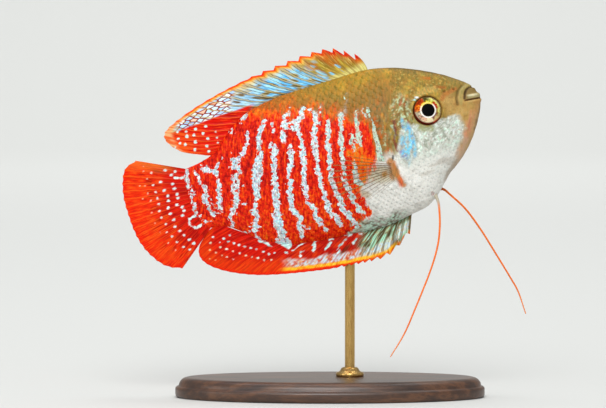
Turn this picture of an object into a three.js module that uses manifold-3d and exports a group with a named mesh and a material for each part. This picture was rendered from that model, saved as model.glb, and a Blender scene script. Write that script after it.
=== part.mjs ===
// Male dwarf gourami, Trichogaster lalius, as a life-size still model on a plain display stand.
//
// Lengths are in millimetres, life size. The fish is drawn level in a frame of its own, in which
// a place is given as back (from the snout towards the tail), left (towards its left side) and
// up. The whole fish is then pitched nose up over the stand, whose foot lies on the plane z = 0.

import * as THREE from "three";
import { mergeVertices } from "three/addons/utils/BufferGeometryUtils.js";
import Module from "manifold-3d";

const wasm = await Module();
wasm.setup();

// Driving dimensions

const bodyLength = 61.4; // snout to the root of the tail fin, at mid height
const nosePitch = 19.5; // degrees that the nose points up
const snoutAhead = 30.1; // of the snout in front of the middle of the stand
const snoutHeight = 59.8; // of the snout above the foot of the stand
const tailSwing = 3; // to the left, at the end of the tail fin
const swingStart = 28; // the spine is straight in front of this
const swingEnd = 74;
const gap = 0.3; // between pieces that touch

// Lines of the body, each a value at distances back from the snout
const backLine = [
  [0.25, 1.5], [0.6, 2.55], [1.3, 3.65], [3, 5.15], [6, 7.4], [10, 9.72], [15, 11.93],
  [20, 13.2], [27, 13.6], [36, 13.95], [42, 13.65], [46, 12.7], [50, 10.55], [53.5, 8.15],
  [56, 7.15], [59, 6.65], [62, 6.45],
];
const bellyLine = [
  [0.25, -0.55], [0.6, -1.6], [1.3, -2.95], [3, -5.5], [5, -7.9], [8, -10.45], [11, -12.35],
  [14, -15], [17, -16.85], [21, -17.4], [24, -17.75], [27, -17.85], [31, -17.4], [35, -16.8],
  [40, -16.2], [45, -15.1], [50, -12.8], [54, -10], [57, -7.7], [59.5, -6.7], [62, -6.5],
];
const widthLine = [
  [0.25, 0.9], [0.6, 1.25], [1.3, 1.75], [3, 2.5], [6, 3.35], [10, 4.25], [15, 5.05], [20, 5.4],
  [26, 5.4], [33, 5], [40, 4.3], [47, 3.2], [53, 2.2], [58, 1.3], [62, 0.8],
];
const widestLine = [[0, 0.2], [5, -1], [11, -1.8], [18, -4], [26, -4], [36, -2.2], [46, -0.6], [62, 0]];
const keelLine = [[0, 2.1], [12, 2.1], [22, 1.9], [32, 1.5], [62, 1.5]]; // 2 is round, less is a keel
const crestSharpness = 1.7; // the same measure for the back
const sectionFullness = 2.2; // 2 is an ellipse, more is slab-sided

// Eye, nostrils and mouth
const eyeBack = 10.75;
const eyeUp = 1.1;
const eyeRadius = 3;
const pupilRadius = 1.25;
const nostrils = [[4.7, 3.3, 0.3], [6.6, 3.5, 0.38]]; // back, up and radius of each
const mouthCorner = [3.2, 0.4];
const mouthFront = [0, -0.15];
const lipRadius = 0.42;

// Gill cover: its rear edge, from the nape down to the throat, and the edge of the cheek
const gillEdge = [
  [15.4, 14], [15.8, 9], [17, 6], [19.3, 3.2], [20.5, -1], [20.2, -5.2], [18.4, -9],
  [15.4, -12], [13, -13.8], [12, -18],
];
const cheekEdge = [[16.2, 6.2], [14.6, 3.4], [14.5, -2], [13.2, -6], [10.8, -8.8], [11.2, -12.2]];
const gillPlate = 1.2; // thickness
const gillProud = 0.2; // how far the plate stands out of the head
const stalkStart = 51; // the tail stalk is parted from the trunk here

// Fins: places back at which the rays grow, and where their tips reach, each ray between two
// named ones being worked out. Every second ray of a fin is named here.
const dorsalFin = {
  roots: [19.4, 21.2, 23.3, 26.6, 30.6, 34.8, 39, 43.2, 47, 49.8, 51.6, 52.9, 54],
  tips: [
    [20.8, 16.85], [24.5, 19.35], [28.75, 20.05], [33.9, 19.95], [39.2, 19.7], [44.2, 19.1],
    [49.2, 18.4], [54.2, 17.4], [58.9, 16.05], [61.8, 14.7], [62.2, 12.8], [60, 9.9],
    [56.2, 7.9],
  ],
  spines: 16,
};
const analFin = {
  roots: [20.4, 23, 25, 26.8, 28.8, 31, 33.5, 36.2, 39.2, 42.5, 45.8, 49, 52, 54.6, 56.8, 58.4],
  tips: [
    [22.35, -20.9], [27.5, -23.45], [31.4, -23.45], [34.1, -23.1], [37, -22.65], [40, -22.1],
    [43.2, -21.4], [46.6, -20.6], [50.2, -19.65], [53.8, -18.5], [57.2, -17], [60.3, -15.2],
    [62.7, -13.1], [63.6, -11.1], [62.9, -9.1], [60.6, -7.15],
  ],
  spines: 17,
};
const tailFin = {
  rootTop: 6,
  rootBottom: -6.3,
  rootBow: 0.03, // how fast the root curves forward, away from mid height
  tips: [
    [69.6, 11.45], [72, 10.3], [73.4, 7.8], [74.2, 4.7], [74.4, 1.5], [74.4, -1.5], [74, -4.6],
    [72.9, -7.6], [71, -10.4], [68, -12.5],
  ],
  rays: 19,
};
const pectoralFin = {
  roots: [[21.2, -5.9], [21.6, -7.6], [21.6, -9.4]],
  tips: [[29, -1.6], [32.3, -2.4], [34, -4.6], [34.1, -7.2], [32.4, -9.7], [29.6, -11.2], [26.4, -11.5]],
  rays: 11,
  spread: 1.7, // of the tips away from the flank
};
const rayHalf = 0.46; // half the thickness over a ray, at its root
const membraneHalf = 0.26;
const tipHalf = 0.2;

// Each pelvic fin is one long thread: places back, left and up along it
const threadRight = [
  [15, -1.3, -14.9], [14.9, -1.8, -16.6], [15.34, -2.2, -18.55], [16.34, -2.7, -21.5], [18.04, -3.2, -24.9],
  [21.08, -3.8, -29.05], [26.77, -4.9, -35.45], [30.2, -5.5, -39.05], [34.2, -6.2, -42.3],
];
const threadLeft = [
  [14.2, 1.4, -14.2], [13, 1.9, -14.75], [12, 2.4, -16.37], [10.1, 3.1, -20.07], [8.57, 4.1, -25.13],
  [7.27, 5, -30.97], [6.15, 5.5, -36.28], [5.62, 5.8, -39.47], [5.66, 6.1, -44.15],
];
const threadRadii = [0.62, 0.36, 0.3, 0.28, 0.26, 0.25, 0.25, 0.25, 0.16]; // root to tip

// Stand
const baseLength = 62;
const baseDepth = 32;
const baseHeight = 4;
const baseChamfer = 0.6;
const rodRadius = 1;
const rodAhead = 4; // of the middle of the base
const rodLeft = 2.1; // of the middle plane, so that the rod passes beside the anal fin
const rodTop = 40.5;
const rodInBase = 2.5;
const collarRadius = 2.8;
const collarHeight = 1.6;

// Finishes

const finish = (color, roughness, metalness = 0) =>
  new THREE.MeshStandardMaterial({ color, roughness, metalness });
const olive = finish(0xa5813a, 0.45);
const silver = finish(0xc9c8c0, 0.35);
const red = finish(0xd8300f, 0.4);
const blueRed = finish(0xd9683a, 0.45);
const orangeRed = finish(0xe5380c, 0.45);
const clearFin = finish(0xd9b48c, 0.5);
const orange = finish(0xdf6a14, 0.5);
const gold = finish(0xc8873c, 0.25);
const black = finish(0x060606, 0.1);
const walnut = finish(0x4a2e1d, 0.5);
const brass = finish(0xb8914a, 0.3, 1);

// Curves and solids

// A smooth curve through [x, y] points with rising x, as a function of x.
function curveThrough(points) {
  const last = points.length - 1;
  const slope = (i) => {
    const before = points[Math.max(i - 1, 0)];
    const after = points[Math.min(i + 1, last)];
    return (after[1] - before[1]) / (after[0] - before[0]);
  };
  return (x) => {
    let i = 0;
    while (i < last - 1 && x > points[i + 1][0]) i++;
    const run = points[i + 1][0] - points[i][0];
    const t = THREE.MathUtils.clamp((x - points[i][0]) / run, 0, 1);
    const rise = t * t * (3 - 2 * t);
    const leave = t * (1 - t) * (1 - t) * slope(i);
    const arrive = t * t * (1 - t) * slope(i + 1);
    return points[i][1] * (1 - rise) + points[i + 1][1] * rise + run * (leave - arrive);
  };
}

// A point at share t of the way along a curve through points with two or three numbers each.
function along(points, t) {
  const path = new THREE.CatmullRomCurve3(points.map((p) => new THREE.Vector3(...p)));
  return path.getPoint(t);
}

function swing(back) {
  const share = Math.max(0, (back - swingStart) / (swingEnd - swingStart));
  return tailSwing * share * share;
}

function place(back, left, up) {
  return new THREE.Vector3(-back, left + swing(back), up);
}

function meshGeometry(vertices, faces) {
  const geometry = new THREE.BufferGeometry();
  geometry.setAttribute("position", new THREE.Float32BufferAttribute(vertices.flatMap((v) => [...v]), 3));
  geometry.setIndex(faces.flat());
  return geometry;
}

function solidOf(geometry) {
  const bare = geometry.clone();
  bare.deleteAttribute("normal");
  bare.deleteAttribute("uv");
  const merged = mergeVertices(bare, 1e-4);
  return new wasm.Manifold(
    new wasm.Mesh({
      numProp: 3,
      vertProperties: merged.attributes.position.array,
      triVerts: new Uint32Array(merged.index.array),
    }),
  );
}

// The largest closed body of a solid, as geometry with flat faces.
function geometryOf(solid) {
  const bodies = solid.decompose();
  const largest = bodies.reduce((a, b) => (b.volume() > a.volume() ? b : a));
  const mesh = largest.getMesh();
  const geometry = new THREE.BufferGeometry();
  geometry.setAttribute("position", new THREE.BufferAttribute(mesh.vertProperties, 3));
  geometry.setIndex(new THREE.BufferAttribute(mesh.triVerts, 1));
  return geometry;
}

function node(name, shape, material) {
  const geometry = shape.isBufferGeometry ? shape : geometryOf(shape);
  geometry.computeVertexNormals();
  const mesh = new THREE.Mesh(geometry, material);
  mesh.name = name;
  return mesh;
}

// A slab through the fish: an outline of [back, up] points, between two places to the left.
function slab(outline, fromLeft, toLeft) {
  const shape = new THREE.Shape(outline.map(([back, up]) => new THREE.Vector2(-back, up)));
  const geometry = new THREE.ExtrudeGeometry(shape, { depth: toLeft - fromLeft, bevelEnabled: false });
  geometry.rotateX(Math.PI / 2);
  geometry.translate(0, toLeft, 0);
  return solidOf(geometry);
}

// A round bar along points, with a radius for each point, closed by rounded ends.
function taperedBar(points, radii, steps, sides) {
  const path = new THREE.CatmullRomCurve3(points);
  const frames = path.computeFrenetFrames(steps, false);
  const radiusAt = curveThrough(radii.map((radius, i) => [i / (radii.length - 1), radius]));
  const vertices = [];
  const faces = [];
  for (let i = 0; i <= steps; i++) {
    const t = i / steps;
    const radius = radiusAt(path.getUtoTmapping(t));
    for (let k = 0; k < sides; k++) {
      const angle = (2 * Math.PI * k) / sides;
      const vertex = path.getPointAt(t);
      vertex.addScaledVector(frames.normals[i], radius * Math.cos(angle));
      vertex.addScaledVector(frames.binormals[i], radius * Math.sin(angle));
      vertices.push(vertex);
    }
  }
  for (let i = 0; i < steps; i++) {
    for (let k = 0; k < sides; k++) {
      const a = i * sides + k;
      const b = i * sides + ((k + 1) % sides);
      faces.push([a, b, b + sides], [a, b + sides, a + sides]);
    }
  }
  const ends = [
    [0, -1, radii[0]],
    [steps, 1, radii[radii.length - 1]],
  ];
  for (const [step, outward, radius] of ends) {
    const pole = vertices.length;
    const endPoint = path.getPointAt(step / steps);
    vertices.push(endPoint.addScaledVector(frames.tangents[step], (outward * radius) / 2));
    for (let k = 0; k < sides; k++) {
      const a = step * sides + k;
      const b = step * sides + ((k + 1) % sides);
      faces.push(outward > 0 ? [a, b, pole] : [b, a, pole]);
    }
  }
  return meshGeometry(vertices, faces);
}

// Body: one lofted form, from which head, trunk and tail stalk are parted

const backUp = curveThrough(backLine);
const bellyUp = curveThrough(bellyLine);
const halfWidth = curveThrough(widthLine);
const widestUp = curveThrough(widestLine);
const keel = curveThrough(keelLine);

// Half the width of the body at a place on its side.
function flankAt(back, up) {
  const middle = widestUp(back);
  const over = up > middle;
  const reach = over ? backUp(back) - middle : middle - bellyUp(back);
  const share = Math.min(Math.abs(up - middle) / reach, 1);
  const sharpness = over ? crestSharpness : keel(back);
  return halfWidth(back) * (1 - share ** sectionFullness) ** (1 / sharpness);
}

// Where a piece sits on the side of the body, and the turn that points its own Y axis outwards.
function onFlank(back, up, side, lift) {
  const step = 0.6;
  const alongBack = (flankAt(back + step, up) - flankAt(back - step, up)) / (2 * step);
  const alongUp = (flankAt(back, up + step) - flankAt(back, up - step)) / (2 * step);
  const outward = new THREE.Vector3(alongBack, side, -alongUp).normalize();
  const position = place(back, side * flankAt(back, up), up).addScaledVector(outward, lift);
  const turn = new THREE.Quaternion().setFromUnitVectors(new THREE.Vector3(0, 1, 0), outward);
  return new THREE.Matrix4().compose(position, turn, new THREE.Vector3(1, 1, 1));
}

// The whole body grown outwards by some millimetres, or shrunk if that is below 0.
function bodySolid(grow) {
  const stations = 46;
  const sides = 32;
  const front = backLine[0][0];
  const end = bodyLength + 0.5;
  const vertices = [];
  const faces = [];
  for (let i = 0; i <= stations; i++) {
    const back = front + (end - front) * (i / stations) ** 1.7;
    const middle = widestUp(back);
    for (let k = 0; k < sides; k++) {
      const angle = (2 * Math.PI * k) / sides;
      const over = Math.sin(angle) >= 0;
      const reach = over ? backUp(back) - middle + grow : bellyUp(back) - middle - grow;
      const sharpness = over ? crestSharpness : keel(back);
      const out = Math.abs(Math.cos(angle)) ** (2 / sharpness) * Math.sign(Math.cos(angle));
      const rise = Math.abs(Math.sin(angle)) ** (2 / sectionFullness);
      vertices.push(place(back, (halfWidth(back) + grow) * out, middle + reach * rise));
    }
  }
  for (let i = 0; i < stations; i++) {
    for (let k = 0; k < sides; k++) {
      const a = i * sides + k;
      const b = i * sides + ((k + 1) % sides);
      faces.push([b, a, b + sides], [b + sides, a, a + sides]);
    }
  }
  const snout = vertices.push(place(front - 0.1, 0, 0.3)) - 1;
  const stalkEnd = vertices.push(place(end, 0, 0)) - 1;
  for (let k = 0; k < sides; k++) {
    const next = (k + 1) % sides;
    faces.push([k, next, snout]);
    faces.push([stations * sides + next, stations * sides + k, stalkEnd]);
  }
  return solidOf(meshGeometry(vertices, faces));
}

const wide = 12; // past the body on either side

// Where the tail stalk ends, at a height: its edge is bowed towards the tail.
function stalkEndAt(up) {
  return bodyLength - tailFin.rootBow * up * up;
}

const stalkOutline = [];
for (let up = 9; up >= -9; up -= 1.5) stalkOutline.push([stalkEndAt(up), up]);
const body = bodySolid(0).intersect(slab([[-4, 20], [50, 20], ...stalkOutline, [50, -20], [-4, -20]], -wide, wide));

// All that lies in front of the gill edge, moved back by some millimetres.
function headRegion(shift) {
  const edge = new THREE.SplineCurve(gillEdge.map(([back, up]) => new THREE.Vector2(back + shift, up)));
  const outline = edge.getPoints(28).map((p) => [p.x, p.y]);
  return slab([[-4, 14], ...outline, [-4, -18]], -wide, wide);
}

// The crescent of the gill cover on one side, grown by some millimetres all round.
function gillCrescent(side, grow) {
  const rear = new THREE.SplineCurve(gillEdge.map((p) => new THREE.Vector2(...p)));
  const rearPoints = rear.getPoints(36).filter((p) => p.y < cheekEdge[0][1] && p.y > cheekEdge[5][1]);
  const cheek = new THREE.SplineCurve(cheekEdge.map((p) => new THREE.Vector2(...p)));
  const frontPoints = cheek.getPoints(16).reverse();
  const outline = [
    ...rearPoints.map((p) => [p.x + grow, p.y]),
    ...frontPoints.map((p) => [p.x - grow, p.y]),
  ];
  outline[outline.length - 1][1] += grow;
  outline[rearPoints.length][1] -= grow;
  return side > 0 ? slab(outline, 1, wide) : slab(outline, -wide, -1);
}

function gillCover(side) {
  return bodySolid(gillProud).subtract(bodySolid(gillProud - gillPlate)).intersect(gillCrescent(side, 0));
}

// The seat that the gill cover lies in.
function gillSeat(side) {
  return gillCrescent(side, gap).subtract(bodySolid(gillProud - gillPlate - gap));
}

// Mouth: the upper lip and the lower jaw are parted from the head round the slit

function slitUp(back) {
  const share = back / mouthCorner[0];
  return THREE.MathUtils.lerp(mouthFront[1], mouthCorner[1], share);
}

const lipGroove = [[-1, 2.6], [0.6, 2.7], [1.6, 2.85], [2.6, 2.3], [3.15, 1.4], [3.2, 0.6]];
const jawEdge = [[3.2, 0.25], [3.6, -1.6], [4.5, -4.2], [5, -6.6], [4.6, -10]];

function upperLipRegion(grow) {
  const groove = new THREE.SplineCurve(lipGroove.map(([back, up]) => new THREE.Vector2(back, up)));
  const edge = groove.getPoints(18).map((p) => [p.x + grow * Math.min(p.x / 2, 1), p.y + grow]);
  const slit = gap / 2 - grow;
  return slab([[-2, slitUp(-2) + slit], [-2, 2.4 + grow], ...edge, [3.2 + grow, slitUp(3.2) + slit]], -wide, wide);
}

function lowerJawRegion(grow) {
  const edge = jawEdge.map(([back, up]) => [back + grow, up]);
  const slit = gap / 2 - grow;
  return slab([[-2, slitUp(-2) - slit], [3.2 + grow, slitUp(3.2) - slit], ...edge, [-2, -10]], -wide, wide);
}

// A lip is a roll of flesh that runs round the snout from one corner of the mouth to the other.
function lipRoll(above) {
  const inset = 0.3;
  const points = [];
  const reach = [3, 1.9, 0.95, 0.42];
  for (const back of reach) points.push([back, halfWidth(back) - inset]);
  const left = points.map(([back, out]) => [back, out]);
  const right = points.map(([back, out]) => [back, -out]).reverse();
  const path = [...left, [0.36, 0], ...right].map(([back, out]) =>
    place(back, out, slitUp(back) + above * (gap / 2 + lipRadius)),
  );
  return taperedBar(path, [0.2, lipRadius, lipRadius, lipRadius, 0.2], 18, 8);
}

// Eyes

function eyeBall() {
  const profile = [
    [0, -1.7], [1.7, -1.5], [2.7, -0.8], [eyeRadius, 0], [eyeRadius - 0.1, 0.35], [2.5, 0.72],
    [2, 0.95], [pupilRadius + gap, 1.1], [pupilRadius + gap, 0.3], [0, 0.3],
  ];
  return new THREE.LatheGeometry(profile.map((p) => new THREE.Vector2(...p)), 26);
}

function pupil() {
  const profile = [[0, 0.3 + gap], [pupilRadius, 0.3 + gap], [pupilRadius, 1.15], [0.7, 1.42], [0, 1.5]];
  return new THREE.LatheGeometry(profile.map((p) => new THREE.Vector2(...p)), 16);
}

function eyeSeat(side) {
  const drum = new THREE.CylinderGeometry(eyeRadius + gap, eyeRadius + gap, 4.4, 28);
  drum.translate(0, 0.2, 0);
  return solidOf(drum.applyMatrix4(onFlank(eyeBack, eyeUp, side, 0)));
}

// The eye is ringed by a low fold of skin.
function eyeRing(side) {
  const ring = new THREE.TorusGeometry(eyeRadius + gap + 0.2, 0.42, 6, 28);
  ring.rotateX(Math.PI / 2);
  return solidOf(ring.applyMatrix4(onFlank(eyeBack, eyeUp, side, -0.12)));
}

function nostrilPit([back, up, radius], side) {
  const pit = new THREE.CylinderGeometry(radius, radius * 0.7, 2, 10);
  return solidOf(pit.applyMatrix4(onFlank(back, up, side, 0.1)));
}

function nostrilRim([back, up, radius], side) {
  const rim = new THREE.TorusGeometry(radius + 0.12, 0.2, 5, 10);
  rim.rotateX(Math.PI / 2);
  return solidOf(rim.applyMatrix4(onFlank(back, up, side, 0)));
}

// Fins: a membrane with a ridge over each ray

// root and tip give the two ends of a ray at share s of the way along the fin. A notch is cut in
// the membrane between two rays, as a share of their length, and bow bends each ray.
function finSheet({ root, tip, rays, rows, notch, bow, flutter }) {
  const columns = 2 * rays - 1;
  const vertices = [];
  const faces = [];
  for (const face of [1, -1]) {
    for (let c = 0; c < columns; c++) {
      const s = c / (columns - 1);
      const overRay = c % 2 === 0;
      const from = root(s);
      const reach = tip(s).sub(from).multiplyScalar(overRay ? 1 : 1 - notch(s));
      const across = new THREE.Vector3(reach.z, 0, -reach.x);
      for (let r = 0; r <= rows; r++) {
        const out = r / rows;
        const rootHalf = overRay ? rayHalf : membraneHalf;
        const half = THREE.MathUtils.lerp(rootHalf, tipHalf, out ** 1.5);
        const vertex = from.clone().addScaledVector(reach, out);
        vertex.addScaledVector(across, bow * 4 * out * (1 - out));
        vertex.y += face * half + flutter(s, out);
        vertices.push(vertex);
      }
    }
  }
  const sheet = columns * (rows + 1);
  const at = (face, c, r) => (face > 0 ? 0 : sheet) + c * (rows + 1) + r;
  for (let c = 0; c + 1 < columns; c++) {
    for (let r = 0; r < rows; r++) {
      const near = [at(1, c, r), at(1, c + 1, r), at(1, c + 1, r + 1), at(1, c, r + 1)];
      const far = near.map((i) => i + sheet);
      faces.push([near[0], near[1], near[2]], [near[0], near[2], near[3]]);
      faces.push([far[2], far[1], far[0]], [far[3], far[2], far[0]]);
    }
  }
  const rim = [];
  for (let c = 0; c + 1 < columns; c++) rim.push([c, 0]);
  for (let r = 0; r < rows; r++) rim.push([columns - 1, r]);
  for (let c = columns - 1; c > 0; c--) rim.push([c, rows]);
  for (let r = rows; r > 0; r--) rim.push([0, r]);
  rim.forEach(([c, r], i) => {
    const [nextC, nextR] = rim[(i + 1) % rim.length];
    const a = at(1, c, r);
    const b = at(1, nextC, nextR);
    faces.push([b, a, a + sheet], [b, a + sheet, b + sheet]);
  });
  const solid = solidOf(meshGeometry(vertices, faces));
  return solid.volume() > 0 ? solid : solidOf(meshGeometry(vertices, faces.map((f) => [...f].reverse())));
}

// A fin along the back (side 1) or the belly (side -1), whose rays stand on the edge of the body.
function midlineFin({ roots, tips, spines }, line, side) {
  const rays = 2 * roots.length - 1;
  const rootBack = (s) => along(roots.map((back) => [back, 0, 0]), s).x;
  const root = (s) => {
    const back = rootBack(s);
    const slope = (line(back + 0.5) - line(back - 0.5)) * side;
    const steep = Math.hypot(1, slope);
    return place(back - (-slope * gap) / steep, 0, line(back) + (side * gap) / steep);
  };
  const tip = (s) => {
    const point = along(tips.map(([back, up]) => [back, up, 0]), s);
    return place(point.x, 0, point.y);
  };
  // The membrane is notched deeply behind the first spines and hardly at all behind the last
  const notch = (s) => 0.02 + (s * (rays - 1) < spines ? 0.03 + 0.2 * Math.exp(-s * (rays - 1) / 2) : 0);
  const flutter = (s, out) => 0.35 * out * out * Math.sin(9 * s) * s;
  return finSheet({ root, tip, rays, rows: 6, notch, bow: 0.045 * side, flutter });
}

function caudalFin() {
  const root = (s) => {
    const up = THREE.MathUtils.lerp(tailFin.rootTop, tailFin.rootBottom, s);
    return place(stalkEndAt(up) + 1.2 * gap, 0, up);
  };
  const tip = (s) => {
    const point = along(tailFin.tips.map(([back, up]) => [back, up, 0]), s);
    return place(point.x, 0, point.y);
  };
  const flutter = (s, out) => 0.3 * out * Math.sin(7 * s);
  return finSheet({ root, tip, rays: tailFin.rays, rows: 7, notch: () => 0.012, bow: 0, flutter });
}

// The pectoral fin fans back from the shoulder and stands a little off the flank.
function pectoral(side) {
  const onSide = (point, lift) => {
    const out = flankAt(point.x, point.y) + gap + rayHalf + lift;
    return place(point.x, side * out, point.y);
  };
  const root = (s) => onSide(along(pectoralFin.roots.map((p) => [...p, 0]), s), 0);
  const tip = (s) => onSide(along(pectoralFin.tips.map((p) => [...p, 0]), s), pectoralFin.spread);
  const flutter = (s, out) => side * 0.25 * out * (1 - out) * 4;
  return finSheet({ root, tip, rays: pectoralFin.rays, rows: 6, notch: () => 0.03, bow: 0, flutter });
}

function pelvicThread(points) {
  const places = points.map(([back, left, up]) => place(back, left, up));
  return solidOf(taperedBar(places, threadRadii, 30, 8)).subtract(bodySolid(gap));
}

// Fish

const fish = new THREE.Group();
fish.rotation.y = -THREE.MathUtils.degToRad(nosePitch);
fish.position.set(snoutAhead, 0, snoutHeight);
fish.updateMatrixWorld(true);

const sides = { right: -1, left: 1 };

function headSolid() {
  let head = body.intersect(headRegion(0));
  for (const side of Object.values(sides)) {
    head = head.add(eyeRing(side)).subtract(eyeSeat(side)).subtract(gillSeat(side));
    for (const nostril of nostrils) {
      head = head.add(nostrilRim(nostril, side)).subtract(nostrilPit(nostril, side));
    }
  }
  const lips = solidOf(lipRoll(1)).add(solidOf(lipRoll(-1)));
  head = head.subtract(upperLipRegion(gap)).subtract(lowerJawRegion(gap));
  return head.subtract(lips);
}

function upperLip() {
  return body.intersect(upperLipRegion(0)).add(solidOf(lipRoll(1)).intersect(upperLipRegion(0)));
}

function lowerJaw() {
  return body.intersect(lowerJawRegion(0)).add(solidOf(lipRoll(-1)).intersect(lowerJawRegion(0)));
}

// The socket for the rod is drilled in the frame of the stand.
function rodSocket() {
  const depth = 24;
  const drill = new THREE.CylinderGeometry(rodRadius + gap, rodRadius + gap, depth, 24);
  drill.rotateX(Math.PI / 2);
  drill.translate(rodAhead, rodLeft, rodTop + gap - depth / 2);
  return solidOf(drill.applyMatrix4(fish.matrixWorld.clone().invert()));
}

const behind = slab([[stalkStart, 20], [80, 20], [80, -20], [stalkStart, -20]], -wide, wide);
const stalkFront = slab([[-4, 20], [stalkStart + gap, 20], [stalkStart + gap, -20], [-4, -20]], -wide, wide);
const trunk = body.subtract(headRegion(gap)).subtract(behind).subtract(rodSocket());

fish.add(node("head", headSolid(), olive));
fish.add(node("upper_lip", upperLip(), olive));
fish.add(node("lower_jaw", lowerJaw(), silver));
fish.add(node("trunk", trunk, red));
fish.add(node("tail_stalk", body.subtract(stalkFront), red));
fish.add(node("dorsal_fin", midlineFin(dorsalFin, backUp, 1), blueRed));
fish.add(node("anal_fin", midlineFin(analFin, bellyUp, -1), orangeRed));
fish.add(node("caudal_fin", caudalFin(), orangeRed));
fish.add(node("pelvic_thread_right", pelvicThread(threadRight), orange));
fish.add(node("pelvic_thread_left", pelvicThread(threadLeft), orange));
for (const [name, side] of Object.entries(sides)) {
  fish.add(node(`gill_cover_${name}`, gillCover(side), silver));
  fish.add(node(`pectoral_fin_${name}`, pectoral(side), clearFin));
  const seat = onFlank(eyeBack, eyeUp, side, -0.25);
  fish.add(node(`eye_${name}`, eyeBall().applyMatrix4(seat), gold));
  fish.add(node(`pupil_${name}`, pupil().applyMatrix4(seat), black));
}

// Stand: an oval wooden base, a brass rod beside the anal fin, and a collar at its foot

function ovalBase() {
  const outline = new THREE.Shape();
  const length = baseLength / 2 - baseChamfer;
  const depth = baseDepth / 2 - baseChamfer;
  outline.absellipse(0, 0, length, depth, 0, 2 * Math.PI, false, 0);
  const oval = new THREE.ExtrudeGeometry(outline, {
    depth: baseHeight - 2 * baseChamfer,
    bevelThickness: baseChamfer,
    bevelSize: baseChamfer,
    bevelSegments: 1,
    curveSegments: 20,
  });
  oval.translate(0, 0, baseChamfer);
  const hole = new THREE.CylinderGeometry(rodRadius + gap, rodRadius + gap, 2 * rodInBase + 2 * gap, 24);
  hole.rotateX(Math.PI / 2);
  hole.translate(rodAhead, rodLeft, baseHeight);
  return solidOf(oval).subtract(solidOf(hole));
}

function rod() {
  const foot = baseHeight - rodInBase;
  const bar = new THREE.CylinderGeometry(rodRadius, rodRadius, rodTop - foot, 24);
  bar.rotateX(Math.PI / 2);
  bar.translate(rodAhead, rodLeft, (rodTop + foot) / 2);
  return bar;
}

function collar() {
  const bore = rodRadius + gap;
  const foot = baseHeight + gap;
  const profile = [
    [bore, foot], [collarRadius, foot], [collarRadius, foot + collarHeight * 0.6],
    [collarRadius - 0.7, foot + collarHeight], [bore, foot + collarHeight], [bore, foot],
  ];
  const ring = new THREE.LatheGeometry(profile.map((p) => new THREE.Vector2(...p)), 24);
  ring.rotateX(Math.PI / 2);
  ring.translate(rodAhead, rodLeft, 0);
  return ring;
}

const model = new THREE.Group();
model.add(fish);
model.add(node("stand_base", ovalBase(), walnut));
model.add(node("stand_rod", rod(), brass));
model.add(node("stand_collar", collar(), brass));

export default model;
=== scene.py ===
import math

import bpy
import numpy as np
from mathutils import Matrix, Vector


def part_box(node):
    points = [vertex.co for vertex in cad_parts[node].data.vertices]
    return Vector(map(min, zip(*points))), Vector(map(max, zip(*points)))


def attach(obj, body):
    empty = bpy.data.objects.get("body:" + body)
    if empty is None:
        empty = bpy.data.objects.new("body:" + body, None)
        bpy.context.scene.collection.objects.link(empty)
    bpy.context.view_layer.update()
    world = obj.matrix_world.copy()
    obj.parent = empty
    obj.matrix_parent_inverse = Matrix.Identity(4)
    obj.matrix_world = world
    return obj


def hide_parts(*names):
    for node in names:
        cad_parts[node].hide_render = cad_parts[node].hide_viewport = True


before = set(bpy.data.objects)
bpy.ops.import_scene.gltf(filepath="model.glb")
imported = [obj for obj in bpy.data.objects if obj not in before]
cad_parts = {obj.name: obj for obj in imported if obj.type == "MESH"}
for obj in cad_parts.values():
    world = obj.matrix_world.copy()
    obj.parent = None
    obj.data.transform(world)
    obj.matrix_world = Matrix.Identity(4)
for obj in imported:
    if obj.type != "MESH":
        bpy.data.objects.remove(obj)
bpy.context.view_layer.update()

# The camera looks level across the stand, square on to the fish's right side, from a little
# above it. It takes in 606 by 408 parts of a fifth of a millimetre each at the fish's middle.
part_across = 0.0002
view_width = 606 * part_across
view_centre = Vector((-0.0054, 0, 0.0387))
camera_distance = 0.9
camera_lift = math.radians(2.5)

camera_data = bpy.data.cameras.new("camera")
camera_data.sensor_width = 36
camera_data.lens = camera_data.sensor_width * camera_distance / view_width
camera_data.clip_start = 0.01
camera = bpy.data.objects.new("camera", camera_data)
bpy.context.scene.collection.objects.link(camera)
camera_way = Vector((0, -math.cos(camera_lift), math.sin(camera_lift)))
camera.location = view_centre + camera_distance * camera_way
camera.rotation_euler = (math.pi / 2 - camera_lift, 0, 0)
bpy.context.scene.camera = camera


# The base is an oval plate of dark oiled walnut, turned to a small ogee round its edge and
# rubbed smooth. It stands flat on the shelf, and the rod is let into its top.
def shade(red, green, blue):
    """A colour given as on a paint chart, from 0 to 255, as the renderer counts it."""
    chart = np.array([red, green, blue], float) / 255
    linear = np.where(chart <= 0.04045, chart / 12.92, ((chart + 0.055) / 1.055) ** 2.4)
    return tuple(float(c) for c in linear)


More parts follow.
